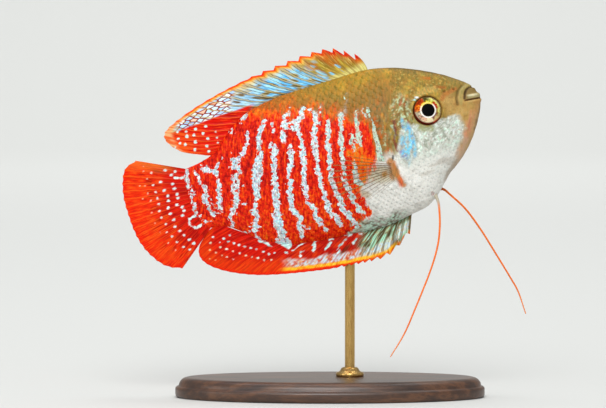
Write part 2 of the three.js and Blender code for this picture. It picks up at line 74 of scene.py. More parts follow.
def make_piece(name, points, faces, material, node_slot, replaced, smooth_faces=None):
    """A smooth mesh of one material, riding on the fish's one body. Points are in metres."""
    mesh = bpy.data.meshes.new(name)
    points, faces = np.asarray(points, float), np.asarray(faces, np.int32)
    corners = faces.shape[1]
    from_middle = points - points.mean(0)
    corner_a, corner_b, corner_c = (from_middle[faces[:, k]] for k in (0, 1, 2))
    if (corner_a * np.cross(corner_b, corner_c)).sum() < 0:
        faces = faces[:, ::-1]
    mesh.vertices.add(len(points))
    mesh.vertices.foreach_set("co", np.asarray(points, np.float32).ravel())
    mesh.loops.add(faces.size)
    mesh.loops.foreach_set("vertex_index", faces.ravel())
    mesh.polygons.add(len(faces))
    mesh.polygons.foreach_set("loop_start", np.arange(0, faces.size, corners, dtype=np.int32))
    mesh.update(calc_edges=True)
    mesh.validate()
    if smooth_faces is None:
        smooth_faces = np.ones(len(faces), bool)
    mesh.polygons.foreach_set("use_smooth", smooth_faces)
    mesh.materials.append(material)
    piece = bpy.data.objects.new(name, mesh)
    bpy.context.scene.collection.objects.link(piece)
    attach(piece, "root")
    if replaced:
        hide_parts(*replaced)
    return piece


class Finish:
    """A material and the nodes that make it, added one by one."""

    def __init__(self, name, roughness=0.5, metallic=0.0, **sockets):
        self.material = bpy.data.materials.new(name)
        self.material.use_nodes = True
        self.tree = self.material.node_tree
        self.shader = self.tree.nodes["Principled BSDF"]
        self.shader.inputs["Roughness"].default_value = roughness
        self.shader.inputs["Metallic"].default_value = metallic
        for socket, value in sockets.items():
            self.shader.inputs[socket.replace("_", " ")].default_value = value

    def put(self, socket, value):
        """Gives a socket a number, a colour or what another node sends."""
        if isinstance(value, bpy.types.NodeSocket):
            self.tree.links.new(value, socket)
        elif isinstance(value, tuple) and len(value) == 3 and socket.type == "RGBA":
            socket.default_value = (*value, 1)
        else:
            socket.default_value = value

    def add(self, kind, *values, **settings):
        """A node with its first sockets given in order and its settings by name."""
        made = self.tree.nodes.new(kind)
        for setting, value in settings.items():
            setattr(made, setting, value)
        shown = [s for s in made.inputs if s.enabled]
        for socket, value in zip(shown, values):
            if value is not None:
                self.put(socket, value)
        return made

    def place(self):
        return self.add("ShaderNodeTexCoord").outputs["Object"]

    def told(self, name, output="Fac"):
        return self.add("ShaderNodeAttribute", attribute_name=name).outputs[output]

    def noise(self, place, scale, detail=3.0, roughness=0.55):
        """Noise over a place, whose scale is one number, or three that stretch it."""
        if isinstance(scale, tuple):
            place, scale = self.stretched(place, scale), 1.0
        made = self.add("ShaderNodeTexNoise", place)
        made.inputs["Scale"].default_value = scale
        made.inputs["Detail"].default_value = detail
        made.inputs["Roughness"].default_value = roughness
        return made.outputs["Fac"]

    def stretched(self, place, scale):
        return self.add("ShaderNodeMapping", place, None, None, scale).outputs["Vector"]

    def cells(self, place, randomness=1.0, **settings):
        made = self.add("ShaderNodeTexVoronoi", place, **settings)
        made.inputs["Scale"].default_value = 1.0
        made.inputs["Randomness"].default_value = randomness
        return made.outputs

    def spread(self, value, low, high, to_low=0.0, to_high=1.0):
        made = self.add("ShaderNodeMapRange", value, low, high, to_low, to_high)
        return made.outputs["Result"]

    def math(self, operation, a, b=None):
        return self.add("ShaderNodeMath", a, b, operation=operation).outputs["Value"]

    def plus(self, a, b):
        return self.math("ADD", a, b)

    def times(self, a, b):
        return self.math("MULTIPLY", a, b)

    def zigzag(self, value):
        return self.math("PINGPONG", value, 0.5)

    def mix(self, share, a, b, way="MIX"):
        made = self.tree.nodes.new("ShaderNodeMix")
        made.data_type = "RGBA"
        made.blend_type = way
        made.clamp_result = way == "MULTIPLY"
        self.put(made.inputs["Factor"], share)
        self.put(made.inputs[6], a)
        self.put(made.inputs[7], b)
        return made.outputs[2]

    def ramp(self, value, *stops, counted=shade):
        """A run of colours, each stop a place from 0 to 1 and a colour as on a paint chart."""
        made = self.add("ShaderNodeValToRGB", value)
        points = made.color_ramp.elements
        while len(points) < len(stops):
            points.new(0.5)
        for point, (at, *colour) in zip(points, stops):
            point.position = at
            point.color = (*counted(*colour), 1)
        return made.outputs["Color"]

    def bump(self, height, strength, distance):
        made = self.tree.nodes.new("ShaderNodeBump")
        made.inputs["Strength"].default_value = strength
        made.inputs["Distance"].default_value = distance
        self.put(made.inputs["Height"], height)
        self.put(self.shader.inputs["Normal"], made.outputs["Normal"])

    def colour(self, value):
        self.put(self.shader.inputs["Base Color"], value)


def walnut():
    wood = Finish("walnut", roughness=0.42, Coat_Weight=0.25, Coat_Roughness=0.25)
    along = wood.stretched(wood.place(), (60, 520, 520))
    sway = wood.noise(wood.place(), (18, 90, 90), 2)
    rings = wood.noise(wood.mix(0.06, along, sway, "ADD"), 1.0, 4, 0.6)
    pores = wood.noise(wood.place(), (700, 7000, 7000), 2)
    tone = wood.ramp(
        rings,
        (0.3, 38, 22, 13), (0.48, 66, 40, 23), (0.6, 92, 58, 34), (0.74, 58, 34, 20),
    )
    wood.colour(wood.mix(wood.spread(pores, 0.62, 0.74), tone, shade(24, 13, 8)))
    wood.bump(pores, 0.25, 0.0001)
    return wood.material


def full_turn(steps):
    """Equal steps of a full turn, in radians."""
    return 2 * np.pi * np.arange(steps) / steps


def ring_faces(rings, around):
    """Quads between closed rings of points, each ring joined to the next."""
    start = np.arange(rings - 1)[:, None] * around
    a = (start + np.arange(around)).ravel()
    b = (start + (np.arange(around) + 1) % around).ravel()
    return np.stack([a, b, b + around, a + around], 1)


def close_ends(points, around):
    """Points and triangles of closed rings, with one more point to close the hole at each end."""
    quads = ring_faces(len(points) // around, around)
    last = len(points) - around
    points = np.vstack([points, points[:around].mean(0), points[last:].mean(0)])
    a = np.arange(around)
    b = (a + 1) % around
    first_end = np.stack([b, a, np.full(around, len(points) - 2)], 1)
    last_end = np.stack([last + a, last + b, np.full(around, len(points) - 1)], 1)
    return points, np.concatenate([quads[:, [0, 1, 2]], quads[:, [0, 2, 3]], first_end, last_end])


def oval_plate(low, high, edge, steps, rings):
    """Rings of points of an oval plate whose edge follows (inset, height) pairs, in mm."""
    centre = (np.array(low) + np.array(high)) / 2
    half = (np.array(high) - np.array(low)) / 2
    turn = full_turn(steps)
    rows = [(0.0, 0.0, 0.02)] + [(inset, height, 1.0) for inset, height in edge]
    rows += [(*edge[-1], 1 - k / rings) for k in range(1, rings)]
    points = []
    for inset, height, share in rows:
        x = centre[0] + share * (half[0] - inset / 1000) * np.cos(turn)
        y = centre[1] + share * (half[1] - inset / 1000) * np.sin(turn)
        points.append(np.stack([x, y, np.full(steps, low[2] + height / 1000)], 1))
    return np.concatenate(points)


base_low, base_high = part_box("stand_base")
base_height = (base_high.z - base_low.z) * 1000
base_steps = 160
top_rings = 10
base_edge = [
    (0.7, 0), (0.25, 0.12), (0.05, 0.4), (0, 0.8), (0, 1.7), (0.08, 2.0), (0.3, 2.2), (0.62, 2.3),
    (0.72, 2.42), (0.75, 2.65), (0.85, 2.95), (1.05, 3.3), (1.35, 3.62), (1.75, 3.85),
    (2.3, base_height), (3.2, base_height),
]
base_points = oval_plate(base_low, base_high, base_edge, base_steps, top_rings)
make_piece(
    "stand_base_oval", *close_ends(base_points, base_steps), walnut(), "walnut", ["stand_base"]
)


# One brass rod rises from the base into a blind hole in the belly, beside the anal fin. It is
# drawn and brushed along its length, and a small turned collar hides where it enters the wood.
def brushed_brass():
    brass = Finish("brushed_brass", roughness=0.28, metallic=1.0)
    strokes = brass.noise(brass.place(), (9000, 9000, 500), 2)
    stain = brass.noise(brass.place(), 300.0, 3)
    tone = brass.mix(brass.spread(stain, 0.4, 0.7), shade(190, 150, 84), shade(160, 120, 62))
    brass.colour(brass.mix(brass.spread(strokes, 0.3, 0.7), tone, shade(206, 170, 104)))
    brass.put(brass.shader.inputs["Roughness"], brass.spread(strokes, 0.3, 0.7, 0.22, 0.36))
    brass.bump(strokes, 0.1, 0.00002)
    return brass.material


def turned(centre, profile, steps):
    """A turned piece from (radius, height) pairs in metres, standing at a place on the base."""
    turn = full_turn(steps)
    rings = [
        np.stack([centre[0] + r * np.cos(turn), centre[1] + r * np.sin(turn), np.full(steps, z)], 1)
        for r, z in profile
    ]
    return close_ends(np.concatenate(rings), steps)


brass_finish = brushed_brass()
rod_low, rod_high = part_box("stand_rod")
rod_centre = (rod_low + rod_high) / 2
rod_radius = (rod_high.x - rod_low.x) / 2
rod_chamfer = 0.0003
rod_rings = 12
rod_profile = [
    (rod_radius * 0.7, rod_low.z),
    (rod_radius, rod_low.z + rod_chamfer),
    *[(rod_radius, rod_low.z + (rod_high.z - rod_low.z) * k / rod_rings) for k in range(1, rod_rings)],
    (rod_radius, rod_high.z - rod_chamfer),
    (rod_radius * 0.7, rod_high.z),
]
make_piece(
    "stand_rod_brass", *turned(rod_centre, rod_profile, 48), brass_finish, "rod_brass", ["stand_rod"]
)

collar_low, collar_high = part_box("stand_collar")
collar_radius = (collar_high.x - collar_low.x) / 2
collar_rise = collar_high.z - base_high.z
collar_shape = [
    (0.96, 0), (1, 0.08), (1, 0.34), (0.95, 0.44), (0.8, 0.5), (0.7, 0.62), (0.62, 0.84), (0.52, 0.96),
]
collar_profile = [(collar_radius * out, base_high.z + collar_rise * up) for out, up in collar_shape]
collar_profile.append((rod_radius * 1.02, collar_high.z))
make_piece(
    "stand_collar_brass", *turned(rod_centre, collar_profile, 64), brass_finish, "rod_brass",
    ["stand_collar"],
)


# The skin is cast in resin as one closed surface, from the lips to the root of the tail fin, and
# painted by hand. Its lines are laid out level, as millimetres back from the snout, left and up,
# and then pitched nose up.
nose_pitch = math.radians(19.5)
snout_ahead = 30.1
snout_height = 59.8
tail_swing = 3
swing_start = 28
swing_end = 74


def curve_through(points):
    """A smooth curve through (x, y) pairs with rising x, as a function of x."""
    x, y = np.array(points, float).T
    number = np.arange(len(x))
    before, after = np.maximum(number - 1, 0), np.minimum(number + 1, len(x) - 1)
    slope = (y[after] - y[before]) / (x[after] - x[before])

    def value(at):
        at = np.asarray(at, float)
        i = np.clip(np.searchsorted(x, at, side="right") - 1, 0, len(x) - 2)
        run = x[i + 1] - x[i]
        t = np.clip((at - x[i]) / run, 0, 1)
        rise = t * t * (3 - 2 * t)
        lean = t * (1 - t) ** 2 * slope[i] - t * t * (1 - t) * slope[i + 1]
        return y[i] * (1 - rise) + y[i + 1] * rise + run * lean

    return value


back_up = curve_through([
    (0.25, 1.5), (0.6, 2.55), (1.3, 3.65), (3, 5.15), (6, 7.4), (10, 9.72), (15, 11.93), (20, 13.2),
    (27, 13.6), (36, 13.95), (42, 13.65), (46, 12.7), (50, 10.55), (53.5, 8.15), (56, 7.15), (59, 6.65),
    (62, 6.45),
])
belly_up = curve_through([
    (0.25, -0.55), (0.6, -1.6), (1.3, -2.95), (3, -5.5), (5, -7.9), (8, -10.45), (11, -12.35),
    (14, -15), (17, -16.85), (21, -17.4), (24, -17.75), (27, -17.85), (31, -17.4), (35, -16.8),
    (40, -16.2), (45, -15.1), (50, -12.8), (54, -10), (57, -7.7), (59.5, -6.7), (62, -6.5),
])
half_width = curve_through([
    (0.25, 0.9), (0.6, 1.25), (1.3, 1.75), (3, 2.5), (6, 3.35), (10, 4.25), (15, 5.05), (20, 5.4),
    (26, 5.4), (33, 5), (40, 4.3), (47, 3.2), (53, 2.2), (58, 1.3), (62, 0.8),
])
widest_up = curve_through([
    (0, 0.2), (5, -1), (11, -1.8), (18, -4), (26, -4), (36, -2.2), (46, -0.6), (62, 0),
])
keel = curve_through([(0, 2.1), (12, 2.1), (22, 1.9), (32, 1.5), (62, 1.5)])
crest_sharpness = 1.7
section_fullness = 2.2
body_length = 61.4
root_bow = 0.03
skin_depth = 0.1  # the skin lies this far inside the solids, and the scales make up for it


def swing_at(back):
    """How far the bend of the tail takes the middle of the body to the left."""
    return tail_swing * np.maximum(0, (back - swing_start) / (swing_end - swing_start)) ** 2


def to_stand(places):
    """Places (back, left, up) in millimetres, as points of the model in metres."""
    back, left, up = places[:, 0], places[:, 1], places[:, 2]
    x = snout_ahead - back * math.cos(nose_pitch) - up * math.sin(nose_pitch)
    z = snout_height - back * math.sin(nose_pitch) + up * math.cos(nose_pitch)
    return np.stack([x, left + swing_at(back), z], 1) / 1000


# The marks are laid out on a side drawing, made from this far off and a little above level
drawing_reach = 900
drawing_tilt = 0.0437
drawing_middle = (-5.4, 38.7)
drawing_slip = (0.16, 0.3)


def on_drawing(places):
    """Where the side drawing of the marks shows places of the body: (back, up)."""
    back, up = places[:, 0], places[:, 2]
    nearer = np.abs(places[:, 1]) - swing_at(back)
    stand = to_stand(places) * 1000
    out_x = (stand[:, 0] - drawing_middle[0]) * nearer / drawing_reach - drawing_slip[0]
    out_z = (stand[:, 2] - drawing_middle[1]) * nearer / drawing_reach - drawing_slip[1]
    out_z -= nearer * drawing_tilt
    shown_back = back - out_x * math.cos(nose_pitch) - out_z * math.sin(nose_pitch)
    shown_up = up - out_x * math.sin(nose_pitch) + out_z * math.cos(nose_pitch)
    return shown_back, shown_up


def flank_at(back, up):
    """Half the width of the body at a place on its side."""
    middle = widest_up(back)
    over = up > middle
    reach = np.where(over, back_up(back) - middle, middle - belly_up(back))
    share = np.minimum(np.abs(up - middle) / reach, 1)
    sharpness = np.where(over, crest_sharpness, keel(back))
    return half_width(back) * (1 - share**section_fullness) ** (1 / sharpness)


def ease(value, low, high):
    """From 0 to 1 as the value goes from low to high, easing at both ends."""
    t = np.clip((value - low) / (high - low), 0, 1)
    return t * t * (3 - 2 * t)


def fade(value, low, high):
    """From 1 to 0 as the value goes from low to high."""
    return 1 - ease(value, low, high)


def grain(x, y, size, seed):
    """Smooth random values from -1 to 1 over a place, with bumps of about this size."""
    x, y = x / size + 500, y / size + 500
    column, row = np.floor(x).astype(np.int64), np.floor(y).astype(np.int64)
    fx, fy = ease(x - column, 0, 1), ease(y - row, 0, 1)

    def corner(i, j):
        h = (i * 374761393 + j * 668265263 + seed * 974711) & 0xFFFFFFFF
        h = ((h ^ (h >> 13)) * 1274126177) & 0xFFFFFFFF
        return ((h ^ (h >> 16)) & 0xFFFF) / 32767.5 - 1

    top = corner(column, row) * (1 - fx) + corner(column + 1, row) * fx
    bottom = corner(column, row + 1) * (1 - fx) + corner(column + 1, row + 1) * fx
    return top * (1 - fy) + bottom * fy


def from_piece(start, end, back, up):
    """Distance to a straight piece of line, and how far along it from 0 to 1."""
    run_back, run_up = end[0] - start[0], end[1] - start[1]
    t = ((back - start[0]) * run_back + (up - start[1]) * run_up) / (run_back**2 + run_up**2)
    t = np.clip(t, 0, 1)
    return np.hypot(back - start[0] - t * run_back, up - start[1] - t * run_up), t


def reach_of(line, back, up):
    """Distance to a line of (back, up) places, and how far along it from 0 to 1."""
    nearest = np.full(np.shape(back), 1e9)
    along = np.zeros(np.shape(back))
    for k, (start, end) in enumerate(zip(line[:-1], line[1:])):
        away, t = from_piece(start, end, back, up)
        closer = away < nearest
        nearest = np.where(closer, away, nearest)
        along = np.where(closer, (k + t) / (len(line) - 1), along)
    return nearest, along


def beside(line, back, up):
    """A line moved by this much back and up."""
    return [(b + back, u + up) for b, u in line]


def hump(value, middle, half):
    """A rounded hump: 1 at its middle, and gone at about twice this half width."""
    return np.exp(-(((value - middle) / half) ** 2))


# Sizes of what stands out of the skin or is sunk into it, on each side of the head
eye_back = 11.08
eye_up = 1.04
eye_radius = 2.84
nostrils = [(4.7, 3.3, 0.3), (6.6, 3.5, 0.36)]
mouth_corner = (3.3, 0.45)
mouth_front = (0, -0.1)
gill_back = curve_through([
    (-18, 12), (-13, 13), (-11, 16), (-8.2, 18.8), (-4.6, 19.9), (-1, 19.7), (3.2, 18.6),
    (6, 16.8), (9, 15.8), (14, 15.4),
])
cheek_groove = [(15.6, 5.4), (14.6, 3.4), (14.5, -2), (13.2, -6), (10.8, -8.8), (8.2, -9.6)]
under_eye_groove = [(6.6, -1.2), (8.2, -2.9), (10.6, -3.7), (13, -3.2), (14.3, -1.4)]
lip_groove = [(3.3, 0.9), (2.95, 1.7), (2.4, 2.35), (1.7, 2.65), (1.0, 2.55), (0.45, 2.1)]
snout_fold = [(5.0, 0.3), (4.75, 1.5), (4.1, 2.6), (3.1, 3.3), (2.0, 3.3)]
jaw_fold = [(3.3, 0.0), (3.9, -1.6), (4.6, -3.6), (5.6, -5.4), (7.2, -7.4), (9.2, -9.0)]
chin_fold = [(1.9, -1.9), (3.0, -3.9), (4.6, -6.2), (6.8, -8.4)]
cover_rim = [
    (18.4, 1.4), (19.3, -1.5), (19.9, -4), (20.2, -6.5), (19.5, -8.4), (17.6, -9.2), (14.5, -9.4),
    (11.5, -9.1), (9.2, -8.4), (7.2, -7.2),
]
pectoral_pad = [(21.5, -6.2), (21.3, -7.8), (20.9, -9.6), (20.55, -11.3)]


def slit_up(back):
    """How high the slit of the mouth is, from the middle of the lips to its corner."""
    share = back / mouth_corner[0]
    return mouth_front[1] + (mouth_corner[1] - mouth_front[1]) * share


def relief(back, up):
    """How far the skin stands out of the plain form of the body, in millimetres."""
    behind = back - gill_back(up)
    head = fade(behind, -0.2, 0.25)
    lower = fade(up, 2.0, 4.5) * ease(up, -9, -5.5)
    rise = lower * 0.12 * (head * ease(behind, -6, 0) - hump(behind, 0.4, 0.3))
    fan = np.arctan2(up - 3.0, back - 13.5)
    rise += lower * head * ease(back, 15.2, 17) * 0.02 * np.sin(fan * 46)
    wrinkled = ease(-up, 8.8, 10) * ease(back, 6.5, 10) * fade(back, 19, 22)
    rise += wrinkled * 0.045 * grain(back * 0.3 + up * 0.12, up * 1.15 - back * 0.12, 0.8, 7)
    for line, half, height in [
        (cover_rim, 0.45, -0.07),
        (beside(cover_rim, -0.5, 0.5), 0.6, 0.06),
        (cheek_groove, 0.35, -0.06),
        (beside(cheek_groove, -0.55, 0), 0.4, 0.04),
        (under_eye_groove, 0.3, -0.08),
        (snout_fold, 0.22, -0.16),
        (beside(snout_fold, -0.5, -0.2), 0.35, 0.1),
        (lip_groove, 0.17, -0.26),
        (jaw_fold, 0.3, -0.06),
        (chin_fold, 0.22, -0.05),
        (pectoral_pad, 0.6, 0.4),
    ]:
        away, along = reach_of(line, back, up)
        inner = ease(along, 0.0, 0.12) * ease(1 - along, 0.0, 0.12)
        rise += height * hump(away, 0, half) * (0.25 + 0.75 * inner)
    from_slit = up - slit_up(back)
    lips = 0.26 * hump(from_slit, 0.75, 0.42) + 0.2 * hump(from_slit, -0.5, 0.36)
    rise += fade(back, 2.9, 3.5) * (lips - 0.3 * hump(from_slit, 0, 0.12))
    rise += fade(back, 1.6, 2.6) * 0.12 * hump(from_slit, 2.1, 0.5)
    past_eye = np.hypot(back - eye_back, up - eye_up) - eye_radius
    rise += 0.22 * hump(past_eye, 0.34, 0.26) - 0.1 * hump(past_eye, 1.2, 0.5)
    rise -= 2.2 * fade(past_eye, -0.45, 0.12)
    for nostril_back, nostril_up, radius in nostrils:
        away = np.hypot(back - nostril_back, up - nostril_up)
        rise += 0.1 * hump(away, radius + 0.1, 0.13) - 0.35 * fade(away, radius * 0.45, radius)
    rise += 0.03 * grain(back, up, 1.1, 5) * fade(back, 14, 20)
    return rise + 0.02 * grain(back, up, 0.45, 6) * fade(back, 3, 8)


first_ring = 0.02
last_ring = body_length + 0.1
nose_round = 0.3
half_ring = 138


def skin_rings():
    """Places (back, left, up) of rings from the nose to the tail, each closed over both sides."""
    spacing_at = curve_through([
        (0.02, 0.03), (0.3, 0.06), (1.0, 0.1), (4.0, 0.15), (21, 0.19), (24, 0.27), (59, 0.27),
    ])
    stations = [first_ring]
    while stations[-1] < last_ring:
        stations.append(stations[-1] + float(spacing_at(stations[-1])))
    stations = np.array(stations)
    angle = np.linspace(np.pi / 2, -np.pi / 2, 600)
    rise = np.abs(np.sin(angle)) ** (2 / section_fullness)
    rings = []
    for station in stations:
        nose = math.sqrt(min(station / nose_round, 1))
        at = max(station, 0.25)
        middle = float(widest_up(at))
        top = (float(back_up(at)) - middle - skin_depth) * nose
        bottom = (float(belly_up(at)) - middle + skin_depth) * nose
        wide = (float(half_width(at)) - skin_depth) * nose
        wide *= 1 - 0.45 * float(ease(station, 58.5, last_ring))
        over = np.sin(angle) >= 0
        sharp = np.where(over, crest_sharpness, float(keel(at)))
        out = wide * np.abs(np.cos(angle)) ** (2 / sharp)
        height = middle + np.where(over, top, bottom) * rise
        run = np.concatenate([[0], np.cumsum(np.hypot(np.diff(out), np.diff(height)))])
        even = np.linspace(0, run[-1], half_ring + 1)
        out, height = np.interp(even, run, out), np.interp(even, run, height)
        bow = root_bow * height**2 * ease(station, 50, body_length)
        left = np.stack([station - bow, out, height], 1)
        right = left[1:-1][::-1] * (1, -1, 1)
        rings.append(np.concatenate([left, right]))
    return stations, np.array(rings)


def normals_of(points, faces):
    """A normal for each point, from the faces round it."""
    a, b, c = points[faces[:, 0]], points[faces[:, 1]], points[faces[:, 2]]
    d = points[faces[:, 3]]
    across = np.cross(c - a, d - b)
    total = np.zeros_like(points)
    for corner in range(4):
        np.add.at(total, faces[:, corner], across)
    return total / np.maximum(np.linalg.norm(total, axis=1, keepdims=True), 1e-12)


stations, plain_rings = skin_rings()
ring_count, ring_size = plain_rings.shape[:2]
plain_skin = plain_rings.reshape(-1, 3)
skin_faces = ring_faces(ring_count, ring_size)
plain_normals = normals_of(plain_skin, skin_faces)
outwards = np.sign((plain_normals * (plain_skin - plain_skin.mean(0))).sum(1).mean())
plain_normals *= outwards
skin_rise = relief(*on_drawing(plain_skin))
skin_places = plain_skin + plain_normals * skin_rise[:, None]
skin_normals = normals_of(skin_places, skin_faces) * outwards

# Colours of the skin, as on a painter's chart
bronze = (144, 108, 42)
rust = (174, 84, 24)
gold = (182, 148, 46)
olive = (104, 88, 34)
# painted shade for the top edge of the head
top_edge_shade = (78, 62, 22)
pale_green = (184, 200, 160)
silver = (222, 221, 215)
# painted shade for the groove over the upper lip
lip_groove_shade = (62, 40, 16)
sky = (116, 208, 240)
deep_sky = (76, 152, 224)

# The pale bars of the flank, each a line of (back, up, half its width) from top to bottom
bars = [
    [(22.2, 5.4, 0.3), (22.3, 2.5, 0.28), (22.6, 0, 0.4), (22.8, -3, 0.6), (23.1, -5.2, 0.7)],
    [(23.4, 5.5, 0.25), (23.1, 4.6, 0.3), (23.0, 3.9, 0.2)],
    [(24.6, 5.7, 0.3), (25.1, 3.6, 0.42), (25.7, 1.6, 0.4), (26.1, 0, 0.42), (26.1, -1.7, 0.25)],
    [(26.9, 2.5, 0.2), (27.2, 1, 0.36), (27.5, 0, 0.42), (27.4, -1.7, 0.3)],
    [(25.0, 1.6, 0.12), (25.2, 0.4, 0.2), (25.0, -0.4, 0.12)],
    [(25.3, 9.9, 0.15), (26.2, 8, 0.3), (26.7, 6.8, 0.42), (27.7, 5.7, 0.5), (28.3, 4.2, 0.5),
     (29.2, 1.8, 0.46), (29.7, 0.2, 0.46), (30.1, -1.2, 0.44), (30.5, -3.4, 0.42), (31.1, -6, 0.42),
     (31.3, -8, 0.42), (31.0, -10, 0.45), (30.8, -11.5, 0.5), (30.5, -12.8, 0.55), (30.1, -14.3, 0.5)],
    [(30.8, 9.2, 0.25), (31.3, 8.2, 0.36), (31.5, 7.3, 0.3)],
    [(28.0, -2.6, 0.15), (28.4, -4.2, 0.35), (28.8, -5.6, 0.6), (29.0, -7.2, 0.62), (28.5, -8.8, 0.5)],
    [(30.5, 5.9, 0.35), (30.9, 4.8, 0.52), (31.2, 3.4, 0.5), (31.9, 1.8, 0.5), (32.3, 0, 0.5),
     (32.8, -2, 0.52), (33.3, -3.6, 0.45), (33.7, -6, 0.5), (33.8, -8, 0.5), (33.5, -10.4, 0.55),
     (33.5, -11.8, 0.6), (32.9, -13.2, 0.6), (32.6, -14.6, 0.5), (32.1, -16, 0.4)],
    [(33.4, 9.4, 0.35), (32.8, 8.4, 0.5), (32.5, 7.4, 0.45), (32.7, 6.4, 0.5), (33.4, 5.3, 0.5),
     (34.0, 4, 0.5), (34.6, 2.2, 0.5), (34.9, 0.5, 0.46), (35.4, -1.2, 0.5), (35.8, -3.2, 0.5),
     (36.1, -5.4, 0.5), (36.3, -7.2, 0.52), (36.1, -9.2, 0.55), (36.1, -11.2, 0.55),
     (35.6, -12.6, 0.5), (35.1, -14.1, 0.5), (34.8, -15.1, 0.35)],
    [(34.1, 9.9, 0.35), (34.9, 9.0, 0.42), (35.4, 8.2, 0.4), (36.1, 7.2, 0.42), (36.9, 6.4, 0.5),
     (37.0, 5, 0.5), (36.8, 3.6, 0.55), (37.2, 2.2, 0.52), (37.6, 0.2, 0.5), (38.2, -1.6, 0.5),
     (38.9, -3.5, 0.55), (39.2, -5, 0.6), (39.4, -6.2, 0.5), (39.8, -7.4, 0.45), (39.5, -8.8, 0.45),
     (38.9, -10.2, 0.5), (39.0, -11.8, 0.45), (38.6, -13.2, 0.5), (38.3, -14.6, 0.4)],
    [(38.2, 7.9, 0.2), (38.0, 6.8, 0.3), (37.6, 6.2, 0.4), (37.2, 7.0, 0.4), (37.4, 8, 0.3),
     (36.6, 7.9, 0.2)],
    [(37.1, 11.0, 0.2), (37.3, 10.2, 0.4), (38.0, 9.4, 0.42), (38.8, 8.7, 0.5), (39.3, 8, 0.5),
     (38.9, 7.1, 0.35)],
    [(39.6, 7.2, 0.3), (40.0, 6.2, 0.6), (40.3, 5.3, 0.65), (40.4, 4.8, 0.4)],
    [(39.1, 3.4, 0.4), (39.6, 2.2, 0.62), (40.2, 0.8, 0.62), (40.6, -0.4, 0.55), (41.3, -1.6, 0.5),
     (41.8, -3, 0.52), (42.3, -4.6, 0.55), (42.8, -6.4, 0.55), (43.1, -8.4, 0.6), (42.5, -9.9, 0.5),
     (42.4, -11.2, 0.6), (42.9, -12.4, 0.6), (42.9, -13.4, 0.5), (43.1, -14.5, 0.4)],
    [(41.2, 9.0, 0.25), (41.4, 7.3, 0.3)],
    [(41.6, -12.2, 0.25), (41.2, -13.4, 0.25)],
    [(42.5, 4.9, 0.45), (42.6, 3.6, 0.65), (43.2, 2, 0.6), (43.6, 0.8, 0.55), (44.1, -0.6, 0.6),
     (44.6, -1.8, 0.6), (44.9, -3.2, 0.6), (45.3, -4.8, 0.85), (45.6, -6.4, 0.7), (46.3, -7.8, 0.7),
     (46.5, -9.4, 0.9), (46.8, -11, 0.8), (46.7, -12.6, 0.8), (46.7, -14, 0.8), (46.1, -15.2, 0.5)],
    [(48.2, -13.4, 0.4), (47.2, -13.8, 0.5)],
    [(42.2, 10.1, 0.4), (42.9, 9.2, 0.5), (43.8, 8.3, 0.45), (44.6, 7.3, 0.5), (45.0, 6.2, 0.55),
     (45.4, 4.8, 0.5), (45.8, 3.4, 0.55), (46.5, 2.5, 0.8), (47.2, 1.2, 1.0), (47.4, 0.2, 1.0),
     (48.2, -1, 0.75), (48.6, -2.4, 0.6), (48.8, -3.6, 0.9), (49.4, -4.4, 0.4)],
    [(49.7, -5.2, 0.5), (50.2, -6.2, 0.75),
     (50.4, -7.8, 0.75), (51.0, -9, 0.65), (51.6, -10.2, 0.75), (51.8, -11.6, 0.55), (50.8, -12.6, 0.25),
     (49.5, -13.9, 0.25)],
    [(46.6, 9.2, 0.15), (46.9, 8, 0.32), (47.1, 6.8, 0.4), (48.0, 6.2, 0.5), (48.6, 5.3, 0.6),
     (49.6, 4.8, 0.5), (50.5, 4.4, 0.8), (51.0, 3.2, 0.9), (50.4, 1.9, 0.6)],
    [(51.4, 4.8, 0.4), (51.4, 2.2, 0.4), (51.9, 0.9, 0.8), (52.5, -0.4, 0.65), (52.7, -1.8, 0.75),
     (53.0, -3.4, 0.75), (54.0, -4.4, 0.6), (55.0, -5.6, 0.6), (55.3, -6.8, 0.7), (55.7, -8.3, 0.5),
     (55.4, -9.4, 0.4), (54.6, -10.3, 0.3), (53.2, -10.0, 0.35), (52.2, -9.5, 0.6)],
    [(51.9, -4.2, 0.35), (51.8, -5.0, 0.2)],
    [(57.0, 4.9, 0.5), (56.2, 4.2, 0.75), (55.2, 3.6, 0.85), (54.9, 2.2, 0.5), (55.3, 0.9, 0.5),
     (55.6, -0.3, 0.55), (56.1, -1.6, 0.5), (56.5, -3, 0.5), (56.5, -4.4, 0.25)],
    [(53.2, 5.3, 0.3), (54.0, 4.6, 0.45), (54.8, 3.9, 0.5)],
    [(58.9, 5.2, 0.28), (58.7, 4, 0.3), (58.4, 2.4, 0.35), (58.3, 0.9, 0.5), (58.9, -0.4, 0.65),
     (59.0, -1.6, 0.5), (58.5, -3, 0.45), (58.3, -4.6, 0.3)],
    [(57.9, -1.4, 0.15), (57.6, -3.0, 0.2), (57.3, -4.4, 0.15)],
    [(60.3, 5.8, 0.35), (61.1, 4.6, 0.4), (61.0, 3, 0.4), (60.8, 1.8, 0.35), (61.3, 0.6, 0.4),
     (61.4, -0.8, 0.4), (61.6, -2, 0.45), (61.8, -3.1, 0.3)],
    [(61.6, -3.2, 0.2), (60.9, -4.1, 0.22), (60.4, -5.0, 0.25), (59.3, -5.4, 0.2)],
    [(45.2, 12.5, 0.2), (46.2, 12.1, 0.3), (47.1, 11.0, 0.15)],
    [(50.1, 11.3, 0.15), (49.7, 10.4, 0.3), (48.9, 9.8, 0.3)],
    [(57.3, 5.9, 0.25), (57.1, 5.3, 0.2)],
    [(51.2, 6.1, 0.12), (51.0, 6.0, 0.12)],
    [(53.0, 6.2, 0.12), (52.7, 5.9, 0.14)],
    [(50.3, -0.6, 0.15), (51.0, -1.8, 0.2)],
]


